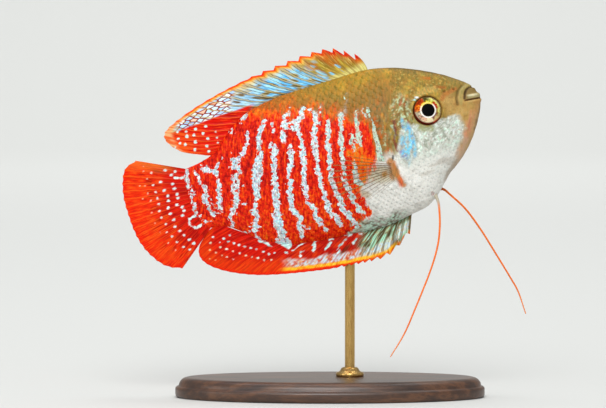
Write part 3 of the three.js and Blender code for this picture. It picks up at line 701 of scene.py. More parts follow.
def depth_in_bars(back, up):
    """Distance in from the edge of the nearest pale bar: above 0 inside it, below 0 outside."""
    depth = np.full(np.shape(back), -3.0)
    for bar in bars:
        for start, end in zip(bar[:-1], bar[1:]):
            away, t = from_piece(start, end, back, up)
            depth = np.maximum(depth, start[2] + (end[2] - start[2]) * t - away)
    return depth


def painted(ground, *coats):
    """Lays coats over a ground, each a colour and its share from 0 to 1 at each place. A colour
    is given as on a paint chart, or for each place as the renderer counts it."""
    def counted(colour):
        return np.asarray(shade(*colour) if isinstance(colour, tuple) else colour)

    ground = counted(ground)
    for coat, share in coats:
        ground = ground * (1 - share[:, None]) + counted(coat) * share[:, None]
    return ground


def patch(back, up, at_back, at_up, long, wide, lean=0.0):
    """A soft oval patch: 1 in the middle, 0 outside."""
    b, u = back - at_back, up - at_up
    c, s = math.cos(math.radians(lean)), math.sin(math.radians(lean))
    away = np.hypot((b * c + u * s) / long, (-b * s + u * c) / wide)
    return fade(away, 0.45, 1.0)


back_bronze = curve_through([
    (20, 2), (22.5, 3.4), (24, 4.2), (26, 5.1), (28, 6.3), (30, 7.6), (32, 8.9), (36, 10.4),
    (40, 11.5), (43, 12.6), (46, 14.2), (62, 18),
])
silver_edge = curve_through([
    (-20, 33.5), (-16.2, 31), (-15.4, 29), (-14.5, 28.2), (-13, 28.5), (-11.5, 28.9),
    (-10, 29.2), (-9.2, 28.7), (-8.6, 27.4), (-7.6, 26.3), (-6.6, 25.4), (-5.6, 24.9),
    (-4.8, 24.1), (-3, 23.5), (-1, 23.2), (6, 23.2),
])
cheek_top = curve_through([
    (0, -2.2), (5, -1.6), (7, -1.4), (9, -1.5), (12, -1.9), (14, -0.8), (15.5, -0.3), (17, -0.6),
    (18.5, -2.5), (20, -4.5),
])
cheek_front = curve_through([
    (-13, 11.4), (-10.5, 9.2), (-8, 7.3), (-6, 5.6), (-4.5, 4.8), (-2, 5.4), (0, 7),
])
jaw_line = [(0.4, -1.6), (2.0, -4.2), (4.2, -7.1), (7.2, -9.7), (10.2, -11.7), (12.5, -13.6)]
pad_light = [(21.0, -6.3), (21.1, -8.6), (20.8, -10.6)]

# Single strokes of the brush: a line of (back, up), half its width, softness, colour and strength
head_strokes = [
    # The first stroke is painted shade: a thin dark line along the top of the head, where it turns away
    # from the light.
    ([(1.4, 4.0), (3, 5.2), (7, 7.9), (12, 10.7), (18, 12.9)], 0.12, 0.6, (84, 66, 22), 0.7),
    ([(8.2, 4.6), (10, 5.1), (12, 4.7)], 0.3, 0.6, (200, 172, 98), 0.45),
    ([(4.4, 3.2), (6.8, 3.0), (7.6, 2.2)], 0.2, 0.45, (176, 104, 50), 0.6),
    ([(6.2, 4.2), (7.8, 4.9)], 0.1, 0.35, (150, 84, 30), 0.6),
    ([(8.6, 7.0), (9.8, 7.6)], 0.08, 0.4, (180, 88, 26), 0.5),
    ([(14.6, 0.8), (14.0, -0.8), (13.0, -2.0), (11.6, -2.6)], 0.4, 0.5, (150, 152, 96), 0.8),
    ([(14.9, -1.4), (13.6, -2.6), (12.2, -3.0), (9.5, -3.2)], 0.1, 0.25, (126, 128, 96), 0.5),
    ([(2.6, -2.4), (4.0, -4.3), (5.4, -6.2)], 0.4, 0.6, (196, 134, 104), 0.75),
    ([(3.4, -3.4), (4.8, -5.4)], 0.08, 0.3, (170, 96, 74), 0.5),
    ([(1.0, -1.2), (2.4, -2.4)], 0.4, 0.6, (176, 130, 74), 0.7),
    # painted shade: a dark line just inside the lower outline of the chin, where the jaw turns under
    ([(0.5, -1.2), (1.6, -3.0), (3.4, -5.6)], 0.12, 0.3, (118, 92, 58), 0.6),
    ([(5.8, -7.0), (8.4, -9.3)], 0.3, 0.7, (188, 152, 128), 0.7),
    ([(9.2, -10.4), (12.2, -12.9)], 0.15, 0.4, (168, 154, 138), 0.7),
    ([(21.7, 2.9), (21.5, 0.8), (21.7, -1.0)], 0.18, 0.25, (184, 84, 18), 0.85),
    ([(20.5, -0.6), (20.7, -2.4), (20.9, -4.0)], 0.14, 0.25, (164, 82, 34), 0.8),
    ([(19.9, 3.4), (19.7, 0.4)], 0.16, 0.3, (190, 142, 56), 0.7),
    ([(18.9, 0.6), (18.7, -1.0), (19.0, -2.2)], 0.14, 0.2, (168, 206, 180), 0.8),
    ([(18.1, 1.2), (18.4, -0.5), (19.2, -2.4), (19.5, -4.4)], 0.22, 0.25, (112, 48, 44), 0.85),
    ([(20.3, -1.8), (20.0, -4.8)], 0.3, 0.3, (160, 158, 112), 0.6),
    # Two pale blue-white flecks on the raised skin above the eye: flecks of its own colour, brightened
    # into a painted highlight there.
    ([(12.4, 4.3), (12.2, 4.2)], 0.12, 0.15, (220, 236, 240), 0.9),
    ([(13.0, 4.0), (12.8, 3.9)], 0.1, 0.15, (170, 232, 232), 0.8),
]


def streaks_at(back, up, width, length, seed):
    """Random values from -1 to 1 in streaks that stand upright as the fish hangs nose up."""
    across = back * math.cos(nose_pitch) + up * math.sin(nose_pitch)
    along = up * math.cos(nose_pitch) - back * math.sin(nose_pitch)
    return grain(across * length / width, along, length, seed)


def stroke(back, up, line, half, soft):
    """How strongly a brush stroke along a line covers a place, from 0 to 1."""
    return fade(reach_of(line, back, up)[0], half, half + soft)


def red_depth_at(back, up):
    """How far in a place is from the edge of the red of the flank, in millimetres."""
    from_head = back - gill_back(up) - 1.6
    from_bronze = 0.75 * (back_bronze(back) - up)
    behind_fan = fade(np.abs(up + 6.3), 1.8, 3.4)
    from_silver = (2.6 - 1.5 * behind_fan) * (back - silver_edge(up))
    depth = np.minimum(np.minimum(from_head, from_bronze), from_silver)
    from_belly = 1.2 * (up - belly_up(back)) - 2.6 * fade(back, 31, 35)
    return np.clip(np.minimum(depth, from_belly + 2.5 * ease(back, 33, 36)), -6, 6)


def body_colour(back, up, bar_depth):
    """The ground of the body where it isn't red: bronze above, khaki shoulder, silver under."""
    wave = grain(back, up, 1.6, 11)
    fine = grain(back, up, 0.5, 12)
    specks = grain(back, up, 0.26, 22)
    hairline = grain(back * 0.35 + up * 0.1, up - back * 0.25, 0.35, 23)
    streak = streaks_at(back, up, 0.5, 2.2, 13)
    hair = streaks_at(back, up, 0.3, 1.2, 14)
    grey_wave = streaks_at(back, up, 1.4, 3.2, 15)
    top = ease(up, 7.5, 12) * fade(back, 30, 40)
    faint_bar = ease(bar_depth, -0.35, 0.25) * ease(-hair, -0.6, 0.4) * (up > 3)
    shoulder = fade(np.abs(back - 20.7 + 0.12 * (up - 1)), 1.2, 2.6)
    shoulder *= fade(np.abs(up - 0.4), 4.6, 7.4)
    below = ease(silver_edge(up) + 1.6 + 0.8 * wave + 0.5 * fine - back, -0.5, 0.6)
    below *= ease(-up, 3.4, 6)
    fan = np.arctan2(up + 7.6, back - 19.8)
    fan_lines = ease(np.sin(fan * 62 + 0.8 * fine), 0.0, 0.6)
    under = ease(belly_up(back) + 2.3 - up + 0.6 * wave, -0.2, 1.5)
    under *= ease(back, 20, 25) * fade(back, 34, 38)
    return painted(
        bronze,
        (gold, top * (0.45 + 0.35 * wave)),
        ((176, 120, 40), ease(back + 2 * wave, 28, 36) * 0.5),
        (rust, ease(back + 2 * wave, 34, 43) * 0.75),
        (rust, ease(back_bronze(back) + 2.2 - up + streak, -0.8, 2.4) * 0.55),
        (olive, ease(-streak + 0.3 * wave, 0.2, 1.0) * 0.45),
        ((168, 160, 148), faint_bar * 0.9),
        ((134, 112, 62), shoulder * 0.85),
        (pale_green, shoulder * ease(hair + 0.4 * fine, 0.25, 0.7) * ease(-up, -4, 0) * 0.75),
        ((184, 104, 26), shoulder * ease(-hair + 0.4 * fine, 0.15, 0.6) * 0.65),
        ((92, 74, 34), shoulder * ease(-streak - 0.5 * hair, 0.2, 0.6) * 0.6),
        (silver, below),
        ((180, 176, 168), below * ease(grey_wave, 0.1, 0.8) * 0.35),
        ((166, 160, 150), below * ease(hairline, 0.35, 0.9) * 0.35),
        ((240, 238, 234), below * ease(-hairline, 0.2, 0.8) * 0.6),
        ((206, 198, 170), below * patch(back, up, 24.2, -7.9, 4.4, 2.3, 22) * 0.85),
        ((120, 104, 74), fan_lines * patch(back, up, 24.4, -7.0, 3.2, 1.9, 22) * 0.45),
        ((176, 150, 104), patch(back, up, 28.4, -10.6, 1.5, 1.0, 30) * 0.6),
        ((146, 140, 128), under * 0.8),
        ((192, 228, 208), under * ease(specks + 0.3 * hair, -0.1, 0.25) * 0.85),
        ((88, 86, 62), under * ease(-specks + 0.3 * hair, 0.2, 0.5) * 0.8),
        ((150, 92, 40), patch(back, up, 31.8, -15.8, 2.4, 1.5) * ease(-fine, -0.5, 0.4) * 0.85),
    )


def head_colour(back, up):
    """The ground colour of the head: bronze above the eye, tan snout, silver cheek."""
    wave = grain(back, up, 1.4, 16)
    fine = grain(back, up, 0.5, 17)
    finer = grain(back, up, 0.27, 18)
    hair = streaks_at(back, up, 0.35, 1.2, 19)
    nape = ease(back, 14, 18) * ease(up, 6, 9)
    # Painted shade: the head is darkened along its top outline, where its surface turns away from the
    # light.
    rim = ease(up - back_up(back), -1.6, -0.2)
    snout = fade(back + 0.4 * wave, 6.8, 9.0) * fade(up + 0.4 * wave, 1.6, 3.6)
    nose = fade(back, 4.4, 6.4) * ease(up, 1.2, 2.6)
    behind_eye = patch(back, up, 16.2, 2.4, 3.0, 4.6, 12)
    mint = streaks_at(back, up, 0.25, 0.9, 25) + 0.5 * finer + 0.3 * (back < 16.5)
    cheek = ease(cheek_top(back) - up + 0.4 * wave + 0.4 * fine, -0.4, 0.5)
    cheek *= ease(back - cheek_front(up) + 0.35 * wave + 0.3 * fine, -0.5, 1.3)
    upper_cheek = cheek * ease(up, -9, -5)
    lines = grain(back * 0.25 + up * 0.1, up - back * 0.1, 0.5, 21) * ease(-up, 8, 9.5)
    from_jaw, _ = reach_of(jaw_line, back, up)
    jaw = fade(from_jaw + 0.25 * wave + 0.12 * np.maximum(back - 5, 0), 0.7, 1.7)
    jaw_tone = painted((180, 146, 102), ((186, 164, 146), ease(back, 5, 9)))
    return painted(
        (142, 116, 48),
        ((186, 156, 64), ease(wave + 0.6 * fine, 0.0, 0.9) * 0.7),
        (olive, ease(-wave - 0.5 * hair, 0.1, 0.9) * 0.5),
        ((176, 108, 34), ease(fine + finer, 0.7, 1.3) * 0.5),
        ((146, 106, 40), nape * 0.6),
        ((206, 186, 104), ease(finer - 0.3 * wave, 0.45, 0.9) * (1 - nape) * 0.5),
        # painted shade along the top edge of the head
        (top_edge_shade, rim * 0.6),
        ((176, 142, 80), snout * 0.95),
        ((196, 164, 108), snout * ease(wave + 0.5 * fine, 0.1, 0.8) * 0.6),
        ((152, 108, 54), snout * ease(-fine - 0.5 * wave, 0.25, 0.9) * 0.5),
        ((132, 112, 54), nose * 0.75),
        ((146, 126, 72), behind_eye * 0.85),
        ((194, 212, 170), behind_eye * ease(mint, 0.15, 0.45) * 0.85),
        ((112, 82, 40), behind_eye * ease(-hair - 0.6 * finer, 0.15, 0.6) * 0.75),
        ((176, 84, 40), behind_eye * ease(fine - hair, 0.6, 1.0) * 0.7),
        ((198, 202, 192), cheek),
        (silver, cheek * ease(-up, 5.5, 9.5) * 0.9),
        ((132, 138, 118), upper_cheek * ease(fine + 0.7 * finer, 0.2, 0.6) * 0.7),
        ((188, 232, 206), upper_cheek * ease(-fine + 0.7 * finer, 0.25, 0.6) * 0.8),
        ((240, 240, 238), upper_cheek * ease(finer - 0.4 * fine, 0.3, 0.6) * 0.8),
        ((188, 160, 148), upper_cheek * ease(-finer - 0.4 * fine, 0.45, 0.75) * 0.6),
        ((168, 156, 142), cheek * ease(lines, 0.15, 0.7) * 0.5),
        (jaw_tone, jaw * 0.85),
    )


def mouth_colour(colour, back, up):
    """The lips, the mouth's line and its folds, painted over the head: painted shade in the grooves and
    slit, a painted highlight on the upper lip.
    """
    from_slit = up - slit_up(back)
    inside = fade(back, 2.7, 3.2) * ease(from_slit, 0.05, 0.25) * fade(from_slit, 2.0, 2.6)
    arc, along = reach_of(lip_groove, back, up)
    fold, fold_along = reach_of(snout_fold, back, up)
    line, line_along = reach_of([mouth_corner, mouth_front, (-1, -0.28)], back, up)
    return painted(
        colour,
        ((128, 106, 60), inside),
        # The next two coats make the upper lip paler along its bulge, with a cream band on it: partly the
        # lip's own colour, partly a painted highlight.
        ((168, 154, 108), fade(np.abs(from_slit - 0.62), 0.22, 0.6) * fade(back, 2.4, 3.1)),
        ((214, 204, 166), patch(back, up, 1.7, 0.95, 1.3, 0.28, 12) * 0.85),
        # painted shade in the groove that arches over the upper lip
        (lip_groove_shade, fade(arc, 0.1, 0.4) * (0.95 - 0.25 * along)),
        # painted shade in the fold of the snout
        ((84, 66, 28), fade(fold, 0.08, 0.5) * (0.75 - 0.2 * fold_along)),
        ((168, 152, 92), stroke(back, up, beside(snout_fold, -0.75, -0.1), 0.2, 0.4) * 0.6),
        # painted shade along the slit of the mouth, under the upper lip
        ((92, 56, 24), fade(line - 0.14 + 0.06 * line_along, -0.08, 0.16) * 0.9),
        ((176, 128, 70), patch(back, up, 1.1, -0.65, 1.5, 0.45, 12) * 0.75),
    )


def skin_colour(back, up, bar_depth):
    """The ground colour of the skin at a place on its side, without the red and the pale bars."""
    fine = grain(back, up, 0.5, 12)
    head = ease(gill_back(up) - back + 0.8 * grain(back, up, 1.2, 20), -1.0, 0.8)
    colour = painted(body_colour(back, up, bar_depth), (head_colour(back, up), head))
    unbroken = ease(streaks_at(back, up, 0.3, 0.8, 35), -0.5, 0.1)
    unbroken = np.maximum(unbroken, np.where(up > 1, 1.0, 0.5) * (back < 14))
    strokes = [
        (tone, stroke(back + 0.12 * fine, up + 0.1 * fine, line, half, soft) * strength * unbroken)
        for line, half, soft, tone, strength in head_strokes
    ]
    nostril_tones = [
        ((110, 78, 40), fade(np.hypot(back - at_back, up - at_up), radius * 0.4, radius) * 0.35)
        for at_back, at_up, radius in nostrils
    ]
    from_eye = np.hypot(back - eye_back, up - eye_up)
    # Painted shade in the hollow where the eye is seated in the skin, heaviest below and behind the eye.
    lower_rear = 0.35 + 0.5 * (back - eye_back - up + eye_up) / np.maximum(from_eye, 1) / 1.4
    eye_socket_shade = fade(from_eye, eye_radius, eye_radius + 0.35) * (0.3 + 0.7 * np.clip(lower_rear, 0, 1))
    glint = patch(back, up, 16.2, -3.4, 1.1, 4.4, 6)
    glint = np.maximum(glint, patch(back, up, 17.9, -5.0, 1.25, 3.8, 10))
    glint = np.maximum(glint, 0.8 * patch(back, up, 16.6, 0.3, 0.5, 1.6, 10))
    flecks = streaks_at(back, up, 0.32, 0.9, 31) + 0.5 * grain(back, up, 0.25, 32)
    deeper = ease(grain(back, up, 0.55, 33) + 0.3 * fine, 0.25, 0.8)
    violet = patch(back, up, 18.6, -5.3, 0.8, 1.2) * ease(fine, -0.6, 0.4)
    # Painted shade along the rear edge of the gill cover, where it overlaps the body.
    gill_edge_shade = fade(np.abs(back - gill_back(up) - 0.25), 0.05, 0.4) * fade(np.abs(up + 1), 3.0, 5.5)
    pad, pad_along = reach_of(pectoral_pad, back, up)
    in_pad = fade(pad + 0.2 * fine - 0.25 * (1 - pad_along), 0.3, 0.75)
    colour = painted(
        mouth_colour(colour, back, up),
        *strokes,
        *nostril_tones,
        # painted shade round the eye
        ((128, 78, 34), eye_socket_shade),
        ((150, 150, 140), np.minimum(glint * 1.4, 1) * 0.6),
        (sky, glint * ease(flecks, -0.5, 0.3)),
        (deep_sky, glint * deeper * 0.75),
        ((206, 240, 240), glint * ease(grain(back, up, 0.3, 34), 0.4, 0.9) * 0.7),
        ((120, 104, 174), violet * 0.8),
        # painted shade at the edge of the gill cover
        ((120, 96, 62), gill_edge_shade * 0.4),
        ((178, 120, 62), in_pad * 0.9),
        ((172, 110, 54), stroke(back, up, pad_light, 0.22, 0.35) * 0.85),
        ((176, 124, 66), patch(back, up, 21.9, -8.8, 1.0, 1.5, 10) * 0.8),
        ((206, 98, 58), patch(back, up, 20.9, -10.6, 0.6, 1.5, 6) * 0.85),
        ((174, 122, 42), patch(back, up, 23.4, -8.1, 0.7, 0.95, 20) * 0.9),
        # painted shade: a near-black mark in the gap between the gill cover and the top of the pectoral
        # fin's root
        ((30, 22, 22), patch(back, up, 20.7, -5.5, 0.26, 0.75, 20)),
        ((150, 52, 48), patch(back, up, 15.6, -14.9, 0.3, 0.55) * 0.85),
    )
    return np.clip(colour, 0, 1)


def as_share(red, green, blue):
    """A tint, given as the share of each colour that it lets through."""
    return red, green, blue


def fish_skin():
    """Ground and red in upright streaks, and pale bars with broken edges over the red."""
    skin = Finish("fish_skin", roughness=0.5, Specular_IOR_Level=0.13)
    place = skin.place()
    brush = skin.noise(place, (2400, 1600, 640), 4, 0.64)
    long_brush = skin.noise(place, (1500, 1000, 330), 3, 0.6)
    speckle = skin.noise(place, 2600.0, 3, 0.66)
    bronze_tint = skin.ramp(
        brush,
        (0.3, 0.55, 0.64, 0.7), (0.42, 0.84, 0.92, 0.92), (0.5, 1.0, 1.0, 1.0),
        (0.58, 1.26, 0.96, 0.84), (0.67, 1.3, 1.4, 1.4), (0.76, 1.0, 1.36, 2.6),
        counted=as_share,
    )
    pale_tint = skin.ramp(
        speckle,
        (0.3, 0.8, 0.84, 0.82), (0.42, 0.93, 0.95, 0.94), (0.5, 1.0, 1.0, 1.0),
        (0.58, 1.06, 1.03, 1.0), (0.68, 1.0, 1.1, 1.06),
        counted=as_share,
    )
    ground = skin.mix(skin.told("paleness"), bronze_tint, pale_tint)
    ground = skin.mix(1.0, skin.told("ground", "Color"), ground, "MULTIPLY")
    orange = skin.told("orange")
    red_at = skin.plus(brush, skin.spread(speckle, 0.3, 0.7, -0.07, 0.07))
    red_at = skin.plus(red_at, skin.times(orange, 0.22))
    red = skin.ramp(
        red_at,
        (0.3, 132, 2, 0), (0.4, 178, 8, 0), (0.5, 214, 24, 0), (0.58, 228, 48, 0),
        (0.67, 234, 86, 4), (0.77, 240, 114, 8), (0.9, 200, 134, 44),
    )
    red_edge = skin.plus(skin.told("red_depth"), skin.spread(long_brush, 0.32, 0.68, -1.8, 1.8))
    red_edge = skin.plus(red_edge, skin.spread(speckle, 0.3, 0.7, -0.5, 0.5))
    red_start = skin.spread(orange, 0, 1, -0.12, -1.0)
    red_full = skin.spread(orange, 0, 1, 0.3, 1.4)
    toned = skin.mix(skin.spread(red_edge, red_start, red_full), ground, red)
    jag = skin.noise(place, (1150, 1500, 1350), 3, 0.55)
    fray = skin.noise(place, 4600.0, 2, 0.5)
    green_bar = skin.told("green_bar")
    ragged = skin.spread(green_bar, 0, 1, 0.36, 0.08)
    edge = skin.plus(skin.told("bar_depth"), skin.times(skin.spread(jag, 0.3, 0.7, -1, 1), ragged))
    edge = skin.plus(edge, skin.spread(fray, 0.3, 0.7, -0.12, 0.08))
    speck = skin.cells(skin.stretched(place, (4300, 3400, 3000)))
    speck_tone = skin.add("ShaderNodeSeparateColor", speck["Color"]).outputs["Red"]
    bar_tone = skin.ramp(
        speck_tone,
        (0.0, 150, 228, 242), (0.2, 242, 252, 248), (0.38, 138, 206, 234), (0.52, 240, 238, 236),
        (0.66, 200, 176, 216), (0.8, 214, 240, 230), (0.9, 144, 94, 94), (1.0, 176, 250, 240),
    )
    lit_edge = skin.times(skin.spread(edge, 0.2, 0.06), 0.7)
    bar_tone = skin.mix(lit_edge, bar_tone, shade(220, 248, 242))
    green = skin.mix(1.0, bar_tone, (0.78, 0.81, 0.63), "MULTIPLY")
    bar_tone = skin.mix(green_bar, bar_tone, green)
    gaps = skin.noise(place, (4200, 3500, 2400), 2, 0.6)
    worn = skin.spread(gaps, skin.spread(green_bar, 0, 1, 0.61, 0.7), 0.75, 0.0, 0.85)
    worn_rim = skin.times(skin.told("rim"), skin.spread(brush, 0.42, 0.58))
    bar_tone = skin.mix(skin.math("MAXIMUM", worn, worn_rim), bar_tone, shade(150, 60, 48))
    toned = skin.mix(skin.spread(edge, -0.03, 0.08), toned, bar_tone)
    toned = skin.mix(skin.spread(skin.told("own"), 0.0, 1.0, 0.0, 0.1), toned, (0.0, 0.0, 0.0))
    skin.colour(toned)
    skin.put(skin.shader.inputs["Roughness"], skin.spread(speckle, 0.35, 0.65, 0.42, 0.56))
    skin.bump(skin.noise(place, 9000.0, 3, 0.6), 0.2, 0.00005)
    return skin.material


def tell(piece, name, values):
    """Writes a number, a colour or a place for every point of a piece, for its material."""
    values = np.asarray(values, np.float32)
    kind = "FLOAT" if values.ndim == 1 else ("FLOAT_COLOR" if values.shape[1] == 4 else "FLOAT_VECTOR")
    field = {"FLOAT": "value", "FLOAT_COLOR": "color", "FLOAT_VECTOR": "vector"}[kind]
    written = piece.data.attributes.new(name, kind, "POINT")
    written.data.foreach_set(field, values.ravel())


def tell_colour(piece, name, colour):
    """Writes a colour, or one for each point, for the material of a piece."""
    count = len(piece.data.vertices)
    tell(piece, name, np.hstack([np.broadcast_to(colour, (count, 3)), np.ones((count, 1))]))


orange_patch = [(27.2, -2.8), (26.5, -4.8), (26.9, -6.8), (27.8, -8.6)]


def tell_skin(piece, places, own, rim, shift):
    """What the skin's finish needs to know at each point of the skin and of the scales."""
    back, up = on_drawing(places)
    bar_depth = depth_in_bars(back + shift[:, 0], up + shift[:, 1])
    red_depth = red_depth_at(back, up)
    ground = skin_colour(back, up, bar_depth)
    thinner = ease(-red_depth, -0.8, 1.6) * (np.abs(back - 38) < 12) * (up > 0)
    broken = ease(streaks_at(back, up, 0.32, 0.8, 41), 0.05, 0.5)
    broken *= ease(back, 47.5, 51.5) * (1 - 0.65 * ease(back, 55, 58))
    along_ray, ray_angle = np.hypot(back - 19.8, up + 7.6), np.arctan2(up + 7.6, back - 19.8)
    ray_streaks = grain(ray_angle * 9, along_ray * 0.35, 0.55, 42)
    near_patch = fade(reach_of(orange_patch, back, up)[0] + 0.9 * ray_streaks, 0.7, 2.4)
    orange = ease(-red_depth, -3.2, 0.8) * fade(-up, 5, 8) * (0.5 + 0.5 * ease(up, 0, 8))
    orange = np.clip(orange + 1.2 * near_patch, 0, 1) + 0.25 * ease(-up, 3, 9)
    snout = fade(back, 7, 10) * fade(up, 2.5, 4.5)
    paleness = np.maximum(ease(2.2 * ground[:, 2] - ground[:, 0], -0.3, 0.3), 0.75 * snout)
    tell_colour(piece, "ground", ground)
    for name, value in [
        ("red_depth", red_depth),
        ("orange", orange),
        ("paleness", paleness),
        ("bar_depth", bar_depth - 0.45 * thinner - 0.5 * broken),
        ("green_bar", fade(back, 24, 36)),
        ("rim", rim * (0.25 + 0.3 * ease(back, 40, 47))),
        ("own", own),
    ]:
        tell(piece, name, value)


tail_end = 0.05
skin_places, skin_triangles = close_ends(skin_places, ring_size)
skin_places[-1, 0] += tail_end
flesh = ["head", "upper_lip", "lower_jaw", "gill_cover_right", "gill_cover_left", "trunk", "tail_stalk"]
fish_skin_finish = fish_skin()
skin_piece = make_piece(
    "fish_skin", to_stand(skin_places), skin_triangles, fish_skin_finish, "skin", flesh
)
coloured_places = np.vstack([plain_skin, skin_places[-2:]])
bare = np.zeros(len(coloured_places))
tell_skin(skin_piece, coloured_places, bare, bare, np.zeros((len(coloured_places), 2)))


# The scales are thin overlapping plates of bone and clear skin, each rooted in a pocket in front
# and free behind. They are largest on the flank and smaller on the cheek, the nape and the breast.
grid_places = skin_places[:-2].reshape(ring_count, ring_size, 3)
grid_plain = plain_skin.reshape(ring_count, ring_size, 3)
grid_normals = skin_normals.reshape(ring_count, ring_size, 3)
half_girth = np.array([
    np.hypot(np.diff(ring[: half_ring + 1, 1]), np.diff(ring[: half_ring + 1, 2])).sum()
    for ring in grid_plain
])
middle_share = np.array([
    np.interp(-float(widest_up(station)) * 0.6, -ring[: half_ring + 1, 2], np.arange(half_ring + 1))
    for station, ring in zip(stations, grid_plain)
]) / half_ring


def on_skin(grid, station, share, side):
    """A value of the skin at a station and a share of the way from its back to its belly."""
    i = np.clip(np.interp(station, stations, np.arange(ring_count)), 0, ring_count - 1.001)
    j = np.clip(share * half_ring, 0, half_ring - 1e-6)
    i0, j0 = i.astype(int), j.astype(int)
    fi, fj = i - i0, j - j0
    if grid.ndim == 3:
        fi, fj = fi[..., None], fj[..., None]

    def column(k):
        return np.where(side > 0, k, (ring_size - k) % ring_size)

    low = grid[i0, column(j0)] * (1 - fj) + grid[i0, column(j0 + 1)] * fj
    high = grid[i0 + 1, column(j0)] * (1 - fj) + grid[i0 + 1, column(j0 + 1)] * fj
    return low * (1 - fi) + high * fi


def skin_map(back, share, side):
    """Where a place lies on the skin opened out flat: the right side below, the left above."""
    across = 0.02 + 0.96 * back / (body_length + 1)
    down = 0.02 + 0.45 * share
    return np.stack([across, np.where(side > 0, 0.98 - down, down)], -1)


def lay_map(piece, corners):
    """Writes the map of each face corner."""
    layer = piece.data.uv_layers.new(name="OFBake")
    layer.data.foreach_set("uv", np.asarray(corners, np.float32).ravel())


def scale_roots(zone, step, row_step, seed):
    """Stations and shares of the roots of staggered rows of scales, kept where zone is true."""
    random = np.random.default_rng(seed)
    station, across = [], []
    rows = int(44 / row_step)
    for row in range(-rows, rows):
        offset = 0.5 * step * (row % 2)
        back = np.arange(3 + offset, body_length - 0.6, step)
        station.append(back)
        across.append(np.full(len(back), row * row_step))
    station, across = np.concatenate(station), np.concatenate(across)
    station = station + random.normal(0, 0.03 * step, len(station))
    across = across + random.normal(0, 0.03 * row_step, len(across))
    girth = np.interp(station, stations, half_girth)
    share = np.interp(station, stations, middle_share) + across / girth
    inside = (share > 0.015) & (share < 0.985)
    station, share = station[inside], share[inside]
    place = on_skin(grid_plain, station, share, np.ones(len(station)))
    keep = zone(place[:, 0], place[:, 2])
    return station[keep], share[keep]


def two_sides(rows, columns):
    """Quads of a closed sheet: one side, then the other side, then the wall round its edge."""
    grid = np.arange(rows * columns).reshape(rows, columns)
    quads = np.stack([grid[:-1, :-1], grid[1:, :-1], grid[1:, 1:], grid[:-1, 1:]], -1).reshape(-1, 4)
    rim = np.concatenate([grid[0, :], grid[1:, -1], grid[-1, -2::-1], grid[-2:0:-1, 0]])
    following = np.roll(rim, -1)
    wall = np.stack([rim, following, following + grid.size, rim + grid.size], 1)
    return np.concatenate([quads, quads[:, ::-1] + grid.size, wall])


plate_rows = 5
plate_columns = 7


def scale_plates(name, station, share, side, length, width, lift, stray, seed):
    """One piece of many scales: each a closed plate that is sunk in front and free behind."""
    random = np.random.default_rng(seed)
    count = len(station)
    down = np.linspace(-1, 1, plate_columns)
    along = np.linspace(0, 1, plate_rows)
    a, c = np.meshgrid(along, down, indexing="ij")
    round_end = np.sqrt(np.maximum(0, 1 - (np.abs(c) * 0.96) ** 2.4))
    reach = a * (0.35 + 0.65 * round_end)
    pinch = 0.8 + 0.2 * np.sin(np.pi * np.minimum(a * 1.15, 1)) - 0.12 * a**3
    size = random.uniform(0.93, 1.07, count)[:, None, None]
    long = (reach[None] - 0.42) * length * size
    wide = (c * pinch)[None] * width / 2 * size
    girth = np.interp(station, stations, half_girth)[:, None, None]
    sides = np.full((count, plate_rows, plate_columns), float(side))
    at_station = station[:, None, None] + long
    at_share = share[:, None, None] + wide / girth
    surface = on_skin(grid_places, at_station, at_share, sides)
    normal = on_skin(grid_normals, at_station, at_share, sides)
    plain = on_skin(grid_plain, at_station, at_share, sides)
    tilt = (random.uniform(0.85, 1.2, count) * (0.4 + 0.6 * ease(station, 22, 36)))[:, None, None]
    crown = 0.55 * (1 - c**2)
    top = lift * tilt * ((reach * 1.55 - 0.5)[None] + (crown * (0.4 + 0.6 * a))[None] - 0.35)
    bottom = np.minimum(top - 0.07, lift * 0.2 - 0.1)
    places = np.stack([surface + normal * top[..., None], surface + normal * bottom[..., None]], 1)
    colours_at = np.stack([plain, plain], 1)
    per_plate = 2 * plate_rows * plate_columns
    faces = two_sides(plate_rows, plate_columns)
    on_top = np.arange(len(faces)) < (plate_rows - 1) * (plate_columns - 1)
    if side < 0:
        faces = faces[:, ::-1]
    every = (np.arange(count)[:, None, None] * per_plate + faces[None]).reshape(-1, 4)
    all_places = places.reshape(-1, 3)
    smooth_faces = np.tile(on_top, count)
    piece = make_piece(name, to_stand(all_places), every, fish_skin_finish, "skin", [], smooth_faces)
    shift = np.repeat(random.normal(0, stray, (count, 2)), per_plate, axis=0)
    own = np.repeat(random.uniform(0, 1, count), per_plate)
    free_edge = np.maximum(ease(a, 0.45, 1.0), ease(np.abs(c), 0.5, 1.0) * ease(a, 0.2, 0.5))
    rim = np.tile(np.concatenate([free_edge.ravel(), free_edge.ravel()]), count)
    tell_skin(piece, colours_at.reshape(-1, 3), own, rim, shift)
    centre = skin_map(station, share, np.full(count, float(side)))
    spread = 0.0015 * np.stack([2 * a - 1, c], -1).reshape(-1, 2)
    spread = np.concatenate([spread, spread * 0.9])
    corner = (centre[:, None] + spread[None]).reshape(-1, 2)
    lay_map(piece, corner[every.reshape(-1)])


def on_head(back, up):
    clear_of_eye = np.hypot(back - eye_back, up - eye_up - 0.15) > eye_radius + 0.95
    return (back < gill_back(up) - 0.5) & clear_of_eye & (back + 0.3 * up > 4.6) & (back > 5.0)


def on_breast(back, up):
    return (back > gill_back(up) + 1.0) & (back < 29) & (up < -9.5)


def on_flank(back, up):
    clear_of_pad = reach_of(pectoral_pad, back, up)[0] > 0.9
    return (back > gill_back(up) + 0.9) & ~on_breast(back, up) & clear_of_pad


